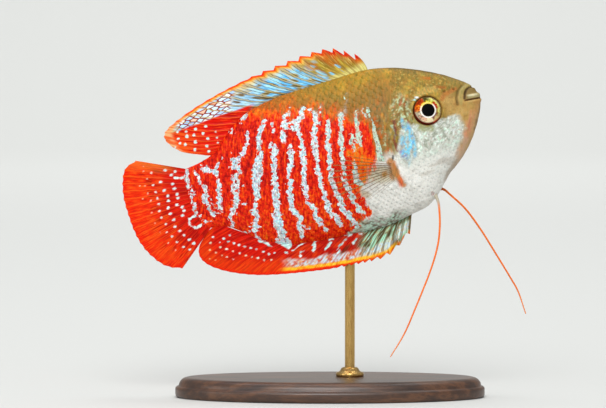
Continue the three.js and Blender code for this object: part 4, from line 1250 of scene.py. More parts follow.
# For each region: its name, where it lies, the steps along a row and between the rows, the length,
# width and lift of one scale, and how far its colours stray from their places, in millimetres.
scale_zones = [
    ("flank", on_flank, 1.46, 1.0, 2.42, 2.02, 0.05, 0.15),
    ("breast", on_breast, 1.05, 0.7, 1.7, 1.4, 0.006, 0.05),
    ("head", on_head, 0.9, 0.6, 1.45, 1.2, 0.007, 0.03),
]
for zone_name, zone, step, row_step, length, width, lift, stray in scale_zones:
    for side_name, side in (("right", -1), ("left", 1)):
        seed = 40 + side
        station, share = scale_roots(zone, step, row_step, seed)
        scale_plates(
            f"scales_{zone_name}_{side_name}", station, share, side, length, width, lift, stray, seed
        )


# The eyes are glass, as a model maker sets them: a black pupil behind a thin bright ring, an iris
# painted under the glass, and a dark rim where the glass is seated in the skin.
def side_frame(shown_back, shown_up, side):
    """Where a place on the flank is, and the flank's outward, backward and upward ways there."""
    back, up = shown_back, shown_up
    for _ in range(3):
        drawn = on_drawing(np.array([[back, side * float(flank_at(back, up)), up]]))
        back, up = back + shown_back - float(drawn[0][0]), up + shown_up - float(drawn[1][0])
    step = 0.6
    by_back = (flank_at(back + step, up) - flank_at(back - step, up)) / (2 * step)
    by_up = (flank_at(back, up + step) - flank_at(back, up - step)) / (2 * step)
    outward = np.array([-by_back, side, -by_up], float)
    outward /= np.linalg.norm(outward)
    backward = np.array([1.0, 0, 0]) - outward[0] * outward
    backward /= np.linalg.norm(backward)
    upward = np.cross(backward, outward) * side
    place = np.array([back, side * float(flank_at(back, up)), up])
    return place, outward, backward, upward


eye_sunk = 0.25
eye_profile = [
    (0.02, 1.16), (0.3, 1.16), (0.6, 1.15), (0.9, 1.14), (1.18, 1.13), (1.29, 1.12), (1.34, 1.1),
    (1.4, 1.09), (1.52, 1.08), (1.62, 1.06), (1.75, 1.01), (1.9, 0.95), (2.1, 0.87), (2.3, 0.77),
    (2.45, 0.67), (2.56, 0.58), (2.65, 0.48), (2.72, 0.37), (2.77, 0.22), (2.78, 0.0), (2.7, -0.5),
    (2.4, -1.0), (1.6, -1.4), (0.6, -1.55), (0.02, -1.6),
]
eye_steps = 120
pupil_radius = 1.31


def eye_disc(side):
    """A turned disc set in the side of the head, with the radius and the turn of each point."""
    place, outward, backward, upward = side_frame(eye_back, eye_up, side)
    turn = full_turn(eye_steps)
    spokes = np.cos(turn)[:, None] * backward + np.sin(turn)[:, None] * upward
    rings = [place + radius * spokes + (rise - eye_sunk) * outward for radius, rise in eye_profile]
    points, faces = close_ends(np.concatenate(rings), eye_steps)
    radius = np.concatenate([np.repeat([radius for radius, _ in eye_profile], eye_steps), [0, 0]])
    around = np.concatenate([np.tile(turn, len(eye_profile)), [0, 0]])
    return points, faces, radius, around


def iris_colour(radius, around):
    """The painted iris: turn 0 is towards the tail, a quarter turn is up."""
    b, u = radius * np.cos(around), radius * np.sin(around)
    fine = grain(b, u, 0.28, 51)
    wave = grain(b, u, 0.7, 52)
    dots = grain(b, u, 0.24, 53)

    def sector(middle, wide):
        turn = np.angle(np.exp(1j * (around - math.radians(middle))))
        return fade(np.abs(turn) + 0.16 * wave, math.radians(wide) * 0.6, math.radians(wide))

    def beyond(low, high):
        return ease(radius + 0.2 * fine, low, high)

    def up_to(low, high):
        return 1 - beyond(low, high)

    white = painted((240, 238, 232), ((234, 206, 84), ease(np.sin(around) + 0.3 * wave, 0.3, 0.8) * 0.9))
    low_rim = np.clip(0.25 - 0.8 * np.sin(around) + 0.45 * np.cos(around), 0, 1)
    rim_tone = painted(
        (104, 62, 26),
        ((92, 22, 10), low_rim),
        ((168, 44, 18), sector(236, 40)),
        ((164, 130, 80), ease(-np.cos(around - 0.25), 0.55, 0.95)),
    )
    return painted(
        (196, 176, 116),
        ((232, 216, 176), sector(272, 66)),
        ((206, 180, 120), sector(222, 42)),
        ((158, 128, 60), sector(192, 36) * up_to(2.2, 2.5)),
        ((160, 160, 50), sector(118, 44)),
        ((206, 206, 96), sector(124, 34) * ease(dots, 0.0, 0.4)),
        ((172, 56, 0), sector(50, 56)),
        ((112, 26, 4), sector(58, 40) * ease(dots, -0.1, 0.4) * beyond(1.8, 2.2) * 0.8),
        ((244, 140, 30), sector(24, 24) * ease(-dots, -0.3, 0.3) * up_to(2.2, 2.5)),
        ((66, 60, 20), sector(96, 22) * beyond(1.75, 2.0)),
        ((168, 44, 2), sector(158, 30) * up_to(2.15, 2.35)),
        ((146, 128, 88), sector(165, 62) * beyond(2.1, 2.25)),
        ((214, 212, 120), sector(160, 60) * beyond(2.08, 2.2) * up_to(2.36, 2.5)),
        ((240, 216, 52), sector(92, 52) * up_to(1.62, 1.85)),
        ((198, 186, 158), sector(350, 26)),
        ((216, 168, 138), sector(324, 30) * up_to(2.2, 2.5)),
        ((98, 84, 70), sector(346, 40) * ease(dots, 0.05, 0.35) * up_to(2.2, 2.5) * 0.85),
        ((104, 34, 50), sector(238, 26) * up_to(1.9, 2.15) * 0.9),
        (white, ease(radius, pupil_radius, pupil_radius + 0.06) * fade(radius, 1.52, 1.66)),
        (rim_tone, ease(radius, 2.62 - 0.26 * low_rim, 2.76 - 0.22 * low_rim)),
        ((3, 3, 4), fade(radius, pupil_radius - 0.03, pupil_radius + 0.03)),
    )


def eye_finish():
    eye = Finish(
        "eye_iris", roughness=0.36, Specular_IOR_Level=0.04, Coat_Weight=0.03, Coat_Roughness=0.06
    )
    colour = eye.told("iris", "Color")
    threads = eye.noise(eye.place(), 4200.0, 3)
    dim = eye.mix(1.0, colour, (0.6, 0.56, 0.5), "MULTIPLY")
    eye.colour(eye.mix(eye.spread(threads, 0.5, 0.66, 0.0, 0.7), colour, dim))
    eye.bump(threads, 0.08, 0.00003)
    return eye.material


eye_iris = eye_finish()
for side_name, side in (("right", -1), ("left", 1)):
    points, faces, radius, around = eye_disc(side)
    eye = make_piece(
        f"eye_glass_{side_name}", to_stand(points), faces, eye_iris, "iris",
        [f"eye_{side_name}", f"pupil_{side_name}"],
    )
    tell_colour(eye, "iris", iris_colour(radius, around))


# The fins are thin webs of skin held out by rays. Hard spines stand in the front of the dorsal
# and anal fins, with their tips free of the web, and soft, branched rays behind them. A maker
# casts each in thin tinted resin and sets its root into the body.
def placed(points, share):
    """Places at shares of the way, counted from point to point, along a smooth curve."""
    points = np.asarray(points, float)
    number = np.arange(len(points))
    at = np.clip(share, 0, 1) * (len(points) - 1)
    return np.stack([curve_through(list(zip(number, column)))(at) for column in points.T], -1)


points_per_ray = 8


def fin_sheet(name, root, tip, rays, rows, notch, bow, flutter, half, finish, node_slot, node):
    """A web with a ridge for each ray, from a root line to a tip line; both sides in one mesh."""
    columns = points_per_ray * (rays - 1) + 1
    ray = np.linspace(0, rays - 1, columns)
    share = ray / (rays - 1)
    from_ray = np.abs((ray + 0.5) % 1 - 0.5)
    start = root(share)
    reach = tip(share) - start
    reach *= (1 - notch(ray, share))[:, None]
    out = np.linspace(0, 1, rows + 1)
    middle = start[:, None] + reach[:, None] * out[None, :, None]
    across = np.stack([reach[:, 2], np.zeros(columns), -reach[:, 0]], 1)
    middle = middle + across[:, None] * bow(share)[:, None, None] * (4 * out * (1 - out))[None, :, None]
    middle[..., 1] += flutter(share[:, None], out[None, :])
    over_ray = hump(from_ray, 0, 0.13)
    thick = half(over_ray[:, None], out[None, :])
    near, far = middle.copy(), middle.copy()
    near[..., 1] -= thick
    far[..., 1] += thick
    points = np.concatenate([near.reshape(-1, 3), far.reshape(-1, 3)])
    faces = two_sides(columns, rows + 1)
    faces = np.concatenate([faces[:, [0, 1, 2]], faces[:, [0, 2, 3]]])
    piece = make_piece(name, to_stand(points), faces, finish, node_slot, [node])
    length = np.linalg.norm(reach, axis=1)
    told = {
        "ray": np.tile(np.repeat(ray, rows + 1), 2),
        "out": np.tile((length[:, None] * out[None]).ravel(), 2),
        "edge": np.tile((length[:, None] * (1 - out[None])).ravel(), 2),
        "share": np.tile(np.tile(out, columns), 2),
        "places": points,
    }
    told["weave"] = np.stack([told["ray"], told["out"] * 0.16, np.zeros(len(points))], 1)
    told["back"], told["up"] = on_drawing(points)
    return piece, told


def fin_finish(name):
    """Fin web: streaked skin between rays, with dark edges, cells, pale spots and bars."""
    fin = Finish(name, roughness=0.45, Specular_IOR_Level=0.09)
    weave = fin.told("weave", "Vector")
    sway = fin.noise(weave, (0.8, 4.0, 1.0), 2)
    ray = fin.plus(fin.told("ray"), fin.spread(sway, 0.3, 0.7, -0.07, 0.07))
    from_ray = fin.zigzag(ray)
    from_fork = fin.zigzag(fin.times(ray, 2.0))
    streaks = fin.noise(weave, (6.8, 2.4, 1.0), 3, 0.6)
    thin = fin.spread(streaks, 0.5, 0.32, 0.0, 0.65)
    web = fin.mix(thin, fin.told("web", "Color"), (0.5, 0.42, 0.36), "MULTIPLY")
    web = fin.mix(fin.spread(streaks, 0.54, 0.7), web, fin.told("streak_tone", "Color"))
    edge_line = fin.times(fin.spread(from_ray, 0.05, 0.11), fin.spread(from_ray, 0.2, 0.13))
    fork_line = fin.times(fin.spread(from_fork, 0.12, 0.04), fin.spread(streaks, 0.4, 0.55))
    dark_share = fin.times(fin.math("MAXIMUM", edge_line, fork_line), fin.told("outline"))
    web = fin.mix(dark_share, web, fin.told("outline_tone", "Color"))
    cell_place = fin.told("cell", "Vector")
    walls = fin.cells(cell_place, 0.55, feature="DISTANCE_TO_EDGE", voronoi_dimensions="2D")
    cell = fin.cells(cell_place, 0.55, voronoi_dimensions="2D")
    cell_tone = fin.add("ShaderNodeSeparateColor", cell["Color"]).outputs["Red"]
    filled = fin.ramp(
        cell_tone,
        (0.0, 226, 255, 255), (0.3, 140, 196, 255), (0.5, 255, 255, 250), (0.75, 190, 230, 255),
        (0.92, 238, 240, 230), (1.0, 240, 140, 60),
    )
    celled = fin.mix(fin.spread(walls["Distance"], 0.18, 0.08), filled, shade(140, 40, 12))
    web = fin.mix(fin.told("cells"), web, celled)
    ray_share = fin.times(fin.spread(from_ray, 0.1, 0.03), fin.told("ray_share"))
    toned = fin.mix(ray_share, web, fin.told("ray_tone", "Color"))
    fray = fin.noise(weave, (5.0, 6.0, 1.0), 2)
    spot = fin.plus(fin.told("spot_depth"), fin.spread(fray, 0.3, 0.7, -0.1, 0.1))
    fleck = fin.noise(weave, (11.0, 13.0, 1.0), 1)
    pale = fin.told("spot_tone", "Color")
    flecked = fin.mix(1.0, pale, (0.6, 0.8, 0.86), "MULTIPLY")
    pale = fin.mix(fin.spread(fleck, 0.5, 0.66), pale, flecked)
    toned = fin.mix(fin.spread(spot, -0.08, 0.1), toned, pale)
    fin.colour(toned)
    fin.put(fin.shader.inputs["Roughness"], fin.spread(streaks, 0.3, 0.7, 0.42, 0.3))
    fin.bump(fin.plus(streaks, fin.spread(from_fork, 0.3, 0.0, 0.0, 0.8)), 0.3, 0.00005)
    return fin.material


def spots_depth(back, up, spots, long=1.0):
    """Distance in from the edge of the nearest spot, given as (back, up, radius)."""
    depth = np.full(len(back), -3.0)
    for spot_back, spot_up, radius in spots:
        depth = np.maximum(depth, radius - np.hypot((back - spot_back) / long, up - spot_up))
    return depth + 0.08 * grain(back, up, 0.3, 97)


def strokes_depth(back, up, strokes):
    """Distance in from the edge of the nearest short stroke, given as (ends, half its width)."""
    depth = np.full(len(back), -3.0)
    for line, half in strokes:
        away, _ = reach_of(line, back, up)
        depth = np.maximum(depth, half - away)
    return depth + 0.16 * grain(back, up, 0.45, 98)


def tell_fin(piece, told, **known):
    """What a fin's finish needs to know at each point, as numbers and as colours."""
    count = len(told["ray"])
    for name, value in known.items():
        if name == "web" or name.endswith("tone"):
            tell_colour(piece, name, value)
        else:
            tell(piece, name, np.broadcast_to(np.asarray(value, float), count))
    tell(piece, "ray", told["ray"])
    tell(piece, "weave", told["weave"])
    tell(piece, "cell", np.stack([told["ray"] * 1.7, told["out"] * 0.95, np.zeros(count)], 1))


fin_sunk = 0.7


def midline_root(roots, line, way):
    """Where the rays of a fin on the back (way 1) or the belly (way -1) stand in the flesh."""
    def root(share):
        back = placed([(b, 0) for b in roots], share)[:, 0]
        up = line(back) - way * (fin_sunk + skin_depth)
        return np.stack([back, np.zeros(len(back)), up], 1)
    return root


def flat_tips(tips):
    """Where the rays of a fin end, in the middle plane of the fish."""
    def tip(share):
        at = placed(tips, share)
        return np.stack([at[:, 0], np.zeros(len(at)), at[:, 1]], 1)
    return tip


def spiny_notch(deep, soft_from, soft):
    """How much shorter the web is than the rays: it drops behind each spine, then climbs again."""
    def notch(ray, share):
        past_ray = ray % 1
        depth = np.interp(ray, *zip(*deep)) * fade(ray, soft_from - 2, soft_from) + soft
        return depth * np.minimum(past_ray / 0.5, (1 - past_ray) / 0.5)
    return notch


def thin_fin(spine_half, web_half, tip_half):
    """Half the thickness of a fin over a ray and over the web at its root, and at its tips."""
    def half(over_ray, out):
        ridge_half = web_half + (spine_half - web_half) * over_ray
        return ridge_half * (1 - out) ** 0.7 + tip_half * (1 - (1 - out) ** 0.7)
    return half


dorsal_roots = [19.4, 21.2, 23.3, 26.6, 30.6, 34.8, 39, 43.2, 47, 49.8, 51.6, 52.9, 54]
dorsal_tips = [
    (20.8, 16.85), (24.5, 19.35), (28.75, 20.05), (33.9, 19.95), (39.2, 19.7), (44.2, 19.1),
    (49.2, 18.4), (54.2, 17.4), (58.9, 16.05), (61.8, 14.7), (62.2, 12.8), (60, 9.9), (56.2, 7.9),
]
dorsal_rays = 25
dorsal_spots = [
    (59.6, 13.7, 0.22), (57.9, 13.2, 0.26), (56, 13, 0.3), (53.9, 12.9, 0.3), (59.9, 12.4, 0.24),
    (58.1, 12.2, 0.34), (56.7, 12, 0.3), (54.9, 11.7, 0.28), (59.9, 11.4, 0.22), (59, 10.8, 0.32),
    (56.9, 10.6, 0.34), (54.3, 10.4, 0.32), (57.5, 9.2, 0.3), (55, 9.1, 0.32), (55, 8, 0.28),
    (52.5, 10, 0.2), (52.7, 9, 0.2), (52.4, 11.2, 0.2), (61.1, 10.9, 0.16),
]
dorsal_patches = [
    (25.1, 15.4, 1.0, 0.34, 45), (28.4, 15.2, 1.8, 0.46, 43), (31.0, 15.9, 2.3, 0.55, 42),
    (30.0, 15.0, 0.9, 0.4, 45), (29.7, 17.0, 0.8, 0.25, 45), (26.6, 14.4, 0.7, 0.3, 45),
]
dorsal_top = curve_through(dorsal_tips[:10])


def median_fin(node, root, tips, rays, **form):
    """A fin in the middle plane of the fish: its piece, and what is known at its points."""
    piece, told = fin_sheet(
        node + "_web", root, flat_tips(tips), rays, finish=median_finish, node_slot=node, node=node, **form
    )
    return piece, told, *(told[known] for known in ("back", "up", "ray", "edge", "out"))


def dorsal_fin():
    notch = spiny_notch([(0, 0.44), (1, 0.28), (2, 0.18), (3, 0.11), (8, 0.075)], 10, 0.015)
    piece, told, back, up, ray, edge, out = median_fin(
        "dorsal_fin", midline_root(dorsal_roots, back_up, 1), dorsal_tips, dorsal_rays, rows=56,
        notch=notch, bow=lambda share: 0.045 - 0.15 * hump(share, 0, 1 / 24),
        flutter=lambda share, out: 0.3 * out**2 * np.sin(9 * share) * share,
        half=thin_fin(0.3, 0.12, 0.05),
    )
    below_top = dorsal_top(told["places"][:, 0]) - told["places"][:, 2]
    wave = grain(ray * 2.0, out * 0.5, 1.0, 61)
    dash = grain(ray * 2.9, out * 0.62, 1.0, 64)
    thread = grain(ray * 4.0, out * 0.42, 1.0, 65)
    slow = grain(back, up, 1.5, 62)
    rear = ease(back + 2 * slow, 39, 45)
    upper = fade(below_top + 0.5 * wave, 1.2, 2.4)
    front = fade(ray + 0.35 * wave, 4.9, 6.2)
    brown = front * ease(out, 2.4, 4.4) * ease(dash + 0.3 * slow, -0.2, 0.3)
    blue_patches = [
        ((124, 204, 240), ease(patch(back + 0.15 * wave, up, *spot) + 0.3 * thread, 0.2, 0.6) * 0.9)
        for spot in dorsal_patches
    ]
    margin = np.minimum(below_top, edge * 0.85 + 0.8 * fade(ray, 2, 4)) + 0.12 * wave
    margin *= 1 + 0.5 * ease(back, 40, 48)
    red_front = fade(below_top + 0.3 * wave, 1.4, 2.6) * fade(ray, 3, 5)
    deep_red = fade(below_top + 0.2 * wave, 0.9, 1.7) * fade(ray, 2, 5)
    lobe = ease(13.95 - up + 0.15 * wave, -0.2, 0.2) * ease(back, 43, 44.6)
    peach = fade(edge + 0.2 * wave, 0.3, 1.6) * ease(back, 56, 60) * 0.8
    peach = np.clip(peach + ease(back + 0.5 * wave, 60.0, 61.6), 0, 1)
    base = fade(up - back_up(back) + 0.3 * dash, 0.1, 0.35)
    dark_base = base * ease(back, 33, 36) * fade(back, 44, 47)
    web = painted(
        (172, 154, 96),
        ((214, 206, 158), ease(thread, 0.0, 0.5) * 0.8),
        ((100, 88, 48), ease(-dash - 0.4 * thread, 0.3, 0.6) * 0.8),
        ((112, 76, 46), rear * ease(-dash, 0.0, 0.3) * 0.7),
        ((96, 188, 244), ease(dash + 0.25 * slow + 0.3 * rear, -0.25, 0.0)),
        ((176, 234, 246), ease(dash + 0.6 * thread, 0.15, 0.5) * 0.85),
        ((84, 144, 226), ease(-slow + 0.4 * thread, 0.35, 0.8) * ease(dash, -0.3, 0) * 0.6),
        ((208, 236, 240), rear * ease(dash, -0.5, -0.2) * 0.5),
        ((220, 200, 140), upper * 0.8),
        ((176, 130, 70), upper * ease(-thread, 0.1, 0.6) * 0.7),
        ((188, 160, 54), front),
        ((128, 102, 36), front * ease(-thread - 0.3 * slow, 0.1, 0.55) * 0.75),
        ((200, 190, 80), front * ease(slow + 0.6 * thread, 0.3, 0.8) * 0.7),
        ((222, 216, 134), front * fade(out + 0.5 * wave, 1.3, 2.8) * 0.9),
        ((186, 96, 22), brown * 0.7),
        *blue_patches,
        ((236, 184, 84), fade(margin, 0.75, 1.2)),
        ((244, 120, 16), fade(margin, 0.45, 0.8)),
        ((226, 36, 4), fade(margin, 0.2, 0.45)),
        ((206, 84, 14), red_front * 0.7),
        ((206, 14, 2), deep_red),
        ((214, 14, 0), lobe),
        ((160, 4, 0), lobe * ease(slow + 0.5 * thread, 0.1, 0.7) * 0.6),
        ((236, 84, 14), lobe * ease(back, 53, 60) * ease(thread, -0.4, 0.3)),
        ((240, 176, 120), peach),
        ((230, 84, 22), peach * ease(thread, 0.0, 0.4) * 0.8),
        ((62, 42, 22), dark_base * 0.5),
    )
    streak_tone = painted(
        (220, 216, 168),
        ((222, 240, 240), ease(back, 38, 44)),
        ((216, 198, 108), np.clip(front + upper, 0, 1)),
        ((246, 84, 16), np.clip(lobe + deep_red, 0, 1)),
        ((248, 150, 40), fade(below_top, 0.8, 1.4)),
    )
    ray_tone = painted(
        (190, 168, 104),
        ((236, 90, 20), lobe),
        ((150, 104, 34), front * 0.8),
        ((226, 70, 12), fade(below_top, 0.5, 1.1)),
    )
    cells = ease(back + 0.6 * (up - 15) + 0.6 * slow, 46.8, 49.0) * (1 - lobe)
    cells *= ease(below_top, 0.6, 1.0) * fade(back, 58.5, 60.5)
    outline = 0.9 * (1 - lobe * 0.75) * ease(below_top, 0.5, 1.5) * (1 - 0.5 * front)
    outline_tone = painted(
        (92, 76, 40),
        ((56, 36, 22), ease(back, 34, 38)),
        ((150, 6, 0), lobe),
        ((124, 84, 26), np.clip(front + upper * 0.7, 0, 1)),
    )
    tell_fin(
        piece, told, web=web, streak_tone=streak_tone, ray_tone=ray_tone, ray_share=0.8 - 0.3 * front,
        outline=outline, outline_tone=outline_tone, cells=cells,
        spot_depth=spots_depth(back, up, dorsal_spots), spot_tone=shade(204, 240, 230),
    )


anal_roots = [20.4, 23, 25, 26.8, 28.8, 31, 33.5, 36.2, 39.2, 42.5, 45.8, 49, 52, 54.6, 56.8, 58.4]
anal_tips = [
    (22.35, -20.9), (27.5, -23.45), (31.4, -23.45), (34.1, -23.1), (37, -22.65), (40, -22.1),
    (43.2, -21.4), (46.6, -20.6), (50.2, -19.65), (53.8, -18.5), (57.2, -17), (60.3, -15.2),
    (62.7, -13.1), (63.6, -11.1), (62.9, -9.1), (60.6, -7.15),
]
anal_rays = 31
anal_bottom = curve_through(anal_tips[:13])
anal_large_spots = [
    (59.2, -10.9), (58.2, -11.7), (57.1, -12.5), (56, -13.3), (55, -14.2), (53.9, -14.8),
    (52.9, -15.5), (51.8, -16.3), (50.5, -16.7), (57.3, -10.4), (56.4, -11.1), (55.6, -11.7),
    (54.6, -12.4), (53.6, -13.1), (52.6, -13.7), (51.4, -14.6), (50.5, -15.4), (49.4, -15.6),
    (58, -9.5), (56.6, -9.3), (59, -9.9),
]
anal_small_spots = [
    (61.4, -10.8), (60.4, -11.6), (59.6, -12.5), (58.7, -13.2), (57.6, -14), (62, -12.4),
    (61, -13.1), (60.8, -9.4), (59.9, -8.5),
]
anal_spots = [(b, u, 0.2) for b, u in anal_large_spots] + [(b, u, 0.15) for b, u in anal_small_spots]
anal_strokes = [
    ([(45.9, -16.4), (44.2, -15.9), (42.4, -15.5)], 0.13),
    ([(44.8, -18), (44.5, -17.3), (43.6, -17.1)], 0.18),
    ([(41.9, -17.8), (41.4, -17.2), (41.2, -16.6)], 0.38),
    ([(41.2, -15.7), (40.8, -16.1), (39.5, -15.8)], 0.26),
    ([(39.7, -18.4), (38.8, -17.9), (38, -17.4)], 0.24),
    ([(38.2, -16.7), (37.3, -17)], 0.22),
    ([(37.4, -19.2), (36.6, -18.6), (35.2, -17.8), (34.2, -17.3)], 0.13),
    ([(34.8, -16.9), (33.6, -17.3)], 0.26),
    ([(33.8, -19), (33, -18.4)], 0.26),
    ([(37.4, -19.9), (36.9, -19.4)], 0.2),
    ([(47.4, -16.2), (47.0, -16.4)], 0.15),
    ([(32.3, -17.6), (31.6, -17.9)], 0.2), ([(47.4, -13.7), (46.3, -15.1)], 0.7),
    ([(51.5, -12.2), (50.2, -13.4), (49.4, -14.2)], 0.22),
]


def anal_fin():
    notch = spiny_notch([(0, 0.3), (1, 0.16), (2, 0.13), (3, 0.08), (6, 0.05)], 10, 0.01)
    piece, told, back, up, ray, edge, out = median_fin(
        "anal_fin", midline_root(anal_roots, belly_up, -1), anal_tips, anal_rays, rows=48,
        notch=notch, bow=lambda share: -0.045 * ease(share * 30, 0, 2),
        flutter=lambda share, out: 0.3 * out**2 * np.sin(9 * share) * share,
        half=thin_fin(0.3, 0.12, 0.05),
    )
    above_bottom = told["places"][:, 2] - anal_bottom(told["places"][:, 0])
    wave = grain(ray * 2.0, out * 0.5, 1.0, 81)
    strand = grain(ray * 3.0, out * 0.34, 1.0, 82)
    flecks = grain(ray * 2.4, out * 1.3, 1.0, 84)
    slow = grain(back, up, 1.4, 83)
    dots = grain(back, up, 0.38, 85)
    from_edge = np.minimum(above_bottom, edge)
    glow = fade(from_edge + 0.6 * slow, 1.8, 3.4) * ease(strand, 0.0, 0.5)
    middle = fade(back + 0.5 * (up + 17) + 0.7 * slow, 45.5, 48)
    front = fade(back + 0.8 * slow + 0.5 * (up + 18.5), 30.8, 33.6)
    root_shade = front * fade(out + 0.5 * wave, 1.4, 2.6)
    pale = ease(above_bottom, 1.2, 1.4) * fade(above_bottom + 0.5 * wave, 2.3, 3.2)
    pale *= fade(back, 46, 49)
    beads = grain(back, up, 0.3, 86) + 0.35 * strand
    gold_rim = fade(above_bottom + 0.25 * wave, 1.05, 1.5) * ease(back, 25, 27) * fade(back, 47.5, 50)
    rim = fade(np.minimum(above_bottom, edge + 0.25) + 0.1 * wave, 0.5, 0.8) * ease(back, 27, 30)
    tips = fade(edge, 0.5, 1.1) * fade(ray, 3, 6)
    tips *= ease(-((ray + 0.35) % 1 - 0.35), -0.45, -0.2)
    spine_front = fade(ray, 0.15, 0.5)
    web = painted(
        (204, 14, 0),
        ((222, 34, 0), ease(slow + 0.4 * strand, 0.0, 0.7) * 0.8),
        ((222, 50, 2), fade(from_edge + 0.6 * slow, 2.4, 4.2)),
        ((232, 82, 8), glow * 0.6),
        ((144, 2, 0), ease(-strand - 0.3 * wave, 0.2, 0.55) * ease(from_edge, 1.5, 3.5) * 0.5),
        ((170, 8, 0), middle * 0.85),
        ((216, 58, 6), middle * ease(slow + 0.4 * wave, 0.15, 0.6) * 0.75),
        ((88, 40, 20), middle * ease(strand, 0.15, 0.6) * fade(back, 36, 41) * 0.75),
        ((134, 124, 84), front),
        ((204, 186, 130), front * ease(wave, 0.1, 0.5) * 0.7),
        ((160, 220, 188), front * ease(strand, -0.05, 0.2) * ease(flecks, -1.0, -0.2)),
        ((60, 48, 26), front * ease(-strand - 0.3 * flecks, 0.12, 0.35) * 0.85),
        ((72, 66, 42), root_shade * 0.6),
        ((236, 206, 160), pale * 0.75),
        ((196, 220, 232), pale * ease(beads, -0.15, 0.0) * 0.95),
        ((196, 60, 16), pale * ease(-beads, 0.25, 0.42) * 0.85 * (1 - 0.8 * front)),
        ((96, 84, 50), pale * front * ease(-strand, 0.2, 0.5) * 0.8),
        ((252, 190, 36), gold_rim),
        ((240, 128, 10), gold_rim * ease(dots, 0.15, 0.5) * 0.8),
        ((230, 36, 0), rim),
        ((240, 96, 10), rim * fade(back, 30, 36) * 0.7),
        ((214, 96, 10), tips),
        ((104, 78, 36), spine_front * (1 - tips)),
    )
    streak_tone = painted(
        (226, 58, 6),
        ((196, 228, 204), front),
        ((252, 216, 90), gold_rim * (1 - rim)),
        ((234, 48, 4), rim),
    )
    ray_tone = painted(
        (200, 20, 0),
        ((110, 92, 50), front),
        ((246, 140, 24), np.clip(gold_rim + tips, 0, 1)),
        ((236, 50, 4), rim),
    )
    outline = np.clip(0.35 + 0.45 * front - gold_rim * 0.7, 0, 1)
    outline_tone = painted((146, 4, 0), ((70, 60, 34), front))
    spot_depth = spots_depth(back, up, anal_spots, 1.25)
    spot_depth = np.maximum(spot_depth, strokes_depth(back + 0.15 * wave, up, anal_strokes))
    out_row = 0.66 * (back - 49.4) - 15.6 - up
    spot_tone = painted(
        (184, 222, 218),
        ((236, 222, 188), ease(out_row, 0.5, 1.3) * ease(back, 46, 50)),
        ((236, 244, 240), ease(dots, 0.1, 0.4) * 0.8),
        ((140, 150, 140), ease(-dots, 0.3, 0.6) * 0.5),
        ((240, 176, 96), ease(back - 0.5 * up, 64.8, 67) * 0.8),
    )
    tell_fin(
        piece, told, web=web, streak_tone=streak_tone, ray_tone=ray_tone, ray_share=0.6,
        outline=outline, outline_tone=outline_tone, cells=0, spot_depth=spot_depth, spot_tone=spot_tone,
    )


tail_rays = 19
tail_root_top = 6
tail_root_bottom = -6.4
tail_tips = [
    (69.6, 11.45), (72, 10.3), (73.4, 7.8), (74.2, 4.7), (74.4, 1.5), (74.4, -1.5), (74, -4.6),
    (72.9, -7.6), (71, -10.4), (68, -12.5),
]


def tail_root(share):
    up = tail_root_top + (tail_root_bottom - tail_root_top) * share
    back = body_length - root_bow * up**2 - fin_sunk
    return np.stack([back, np.zeros(len(up)), up], 1)


tail_large_spots = [
    (66.1, 5.4), (66, 3.5), (65.8, 2.3), (65.9, 1.3), (66.4, 0), (66.4, -1.3), (66.2, -2.6),
    (66.4, -4), (65.8, -5.1), (65.3, -6.2), (64.6, -7.4), (64, -8.4), (64.5, 7.3), (63.7, 6),
    (62.7, 6.4), (64, 4.2), (64, 3.2), (63.8, 2), (63.9, 1.2), (64.6, 0), (63.7, -0.8),
    (63.7, -1.6), (64.2, -2.4),
]
tail_middle_spots = [
    (67.3, 7.7), (67.7, 5.3), (67.7, 3.8), (67.8, 2.5), (67.9, 1.3), (68.3, 0), (68.4, -1.4),
    (68, -2.9), (68.3, -4.5), (67.6, -5.7), (67, -7), (66.2, -8.4), (65.2, -9.3),
]
tail_small_spots = [
    (68.3, 9.5), (68.7, 8.6), (68.5, 6.9), (69.3, 5.7), (69.3, 4.1), (69.2, 2.5), (70.4, 6),
    (70.6, 3.4), (69.8, 0.2), (69.9, -2), (69.6, -4.2), (68.8, -6.6), (67.9, -8.4),
]
tail_spots = [
    (b, u, radius)
    for spots, radius in [(tail_large_spots, 0.25), (tail_middle_spots, 0.2), (tail_small_spots, 0.13)]
    for b, u in spots
]
tail_strokes = [
    ([(61.7, -3.2), (63.3, -3.5), (63.5, -4.7), (62.5, -5.8), (60.5, -5)], 0.2),
    ([(63.2, 5.2), (61.5, 4.7)], 0.18),
]


def tail_notch(ray, share):
    """The web of the tail fin is a little shorter than its rays, most of all at its two sides."""
    from_side = 0.5 - np.abs(share - 0.5)
    return 0.012 * np.sin(np.pi * (ray % 1)) + 0.035 * np.exp(-(from_side * 26) ** 2)


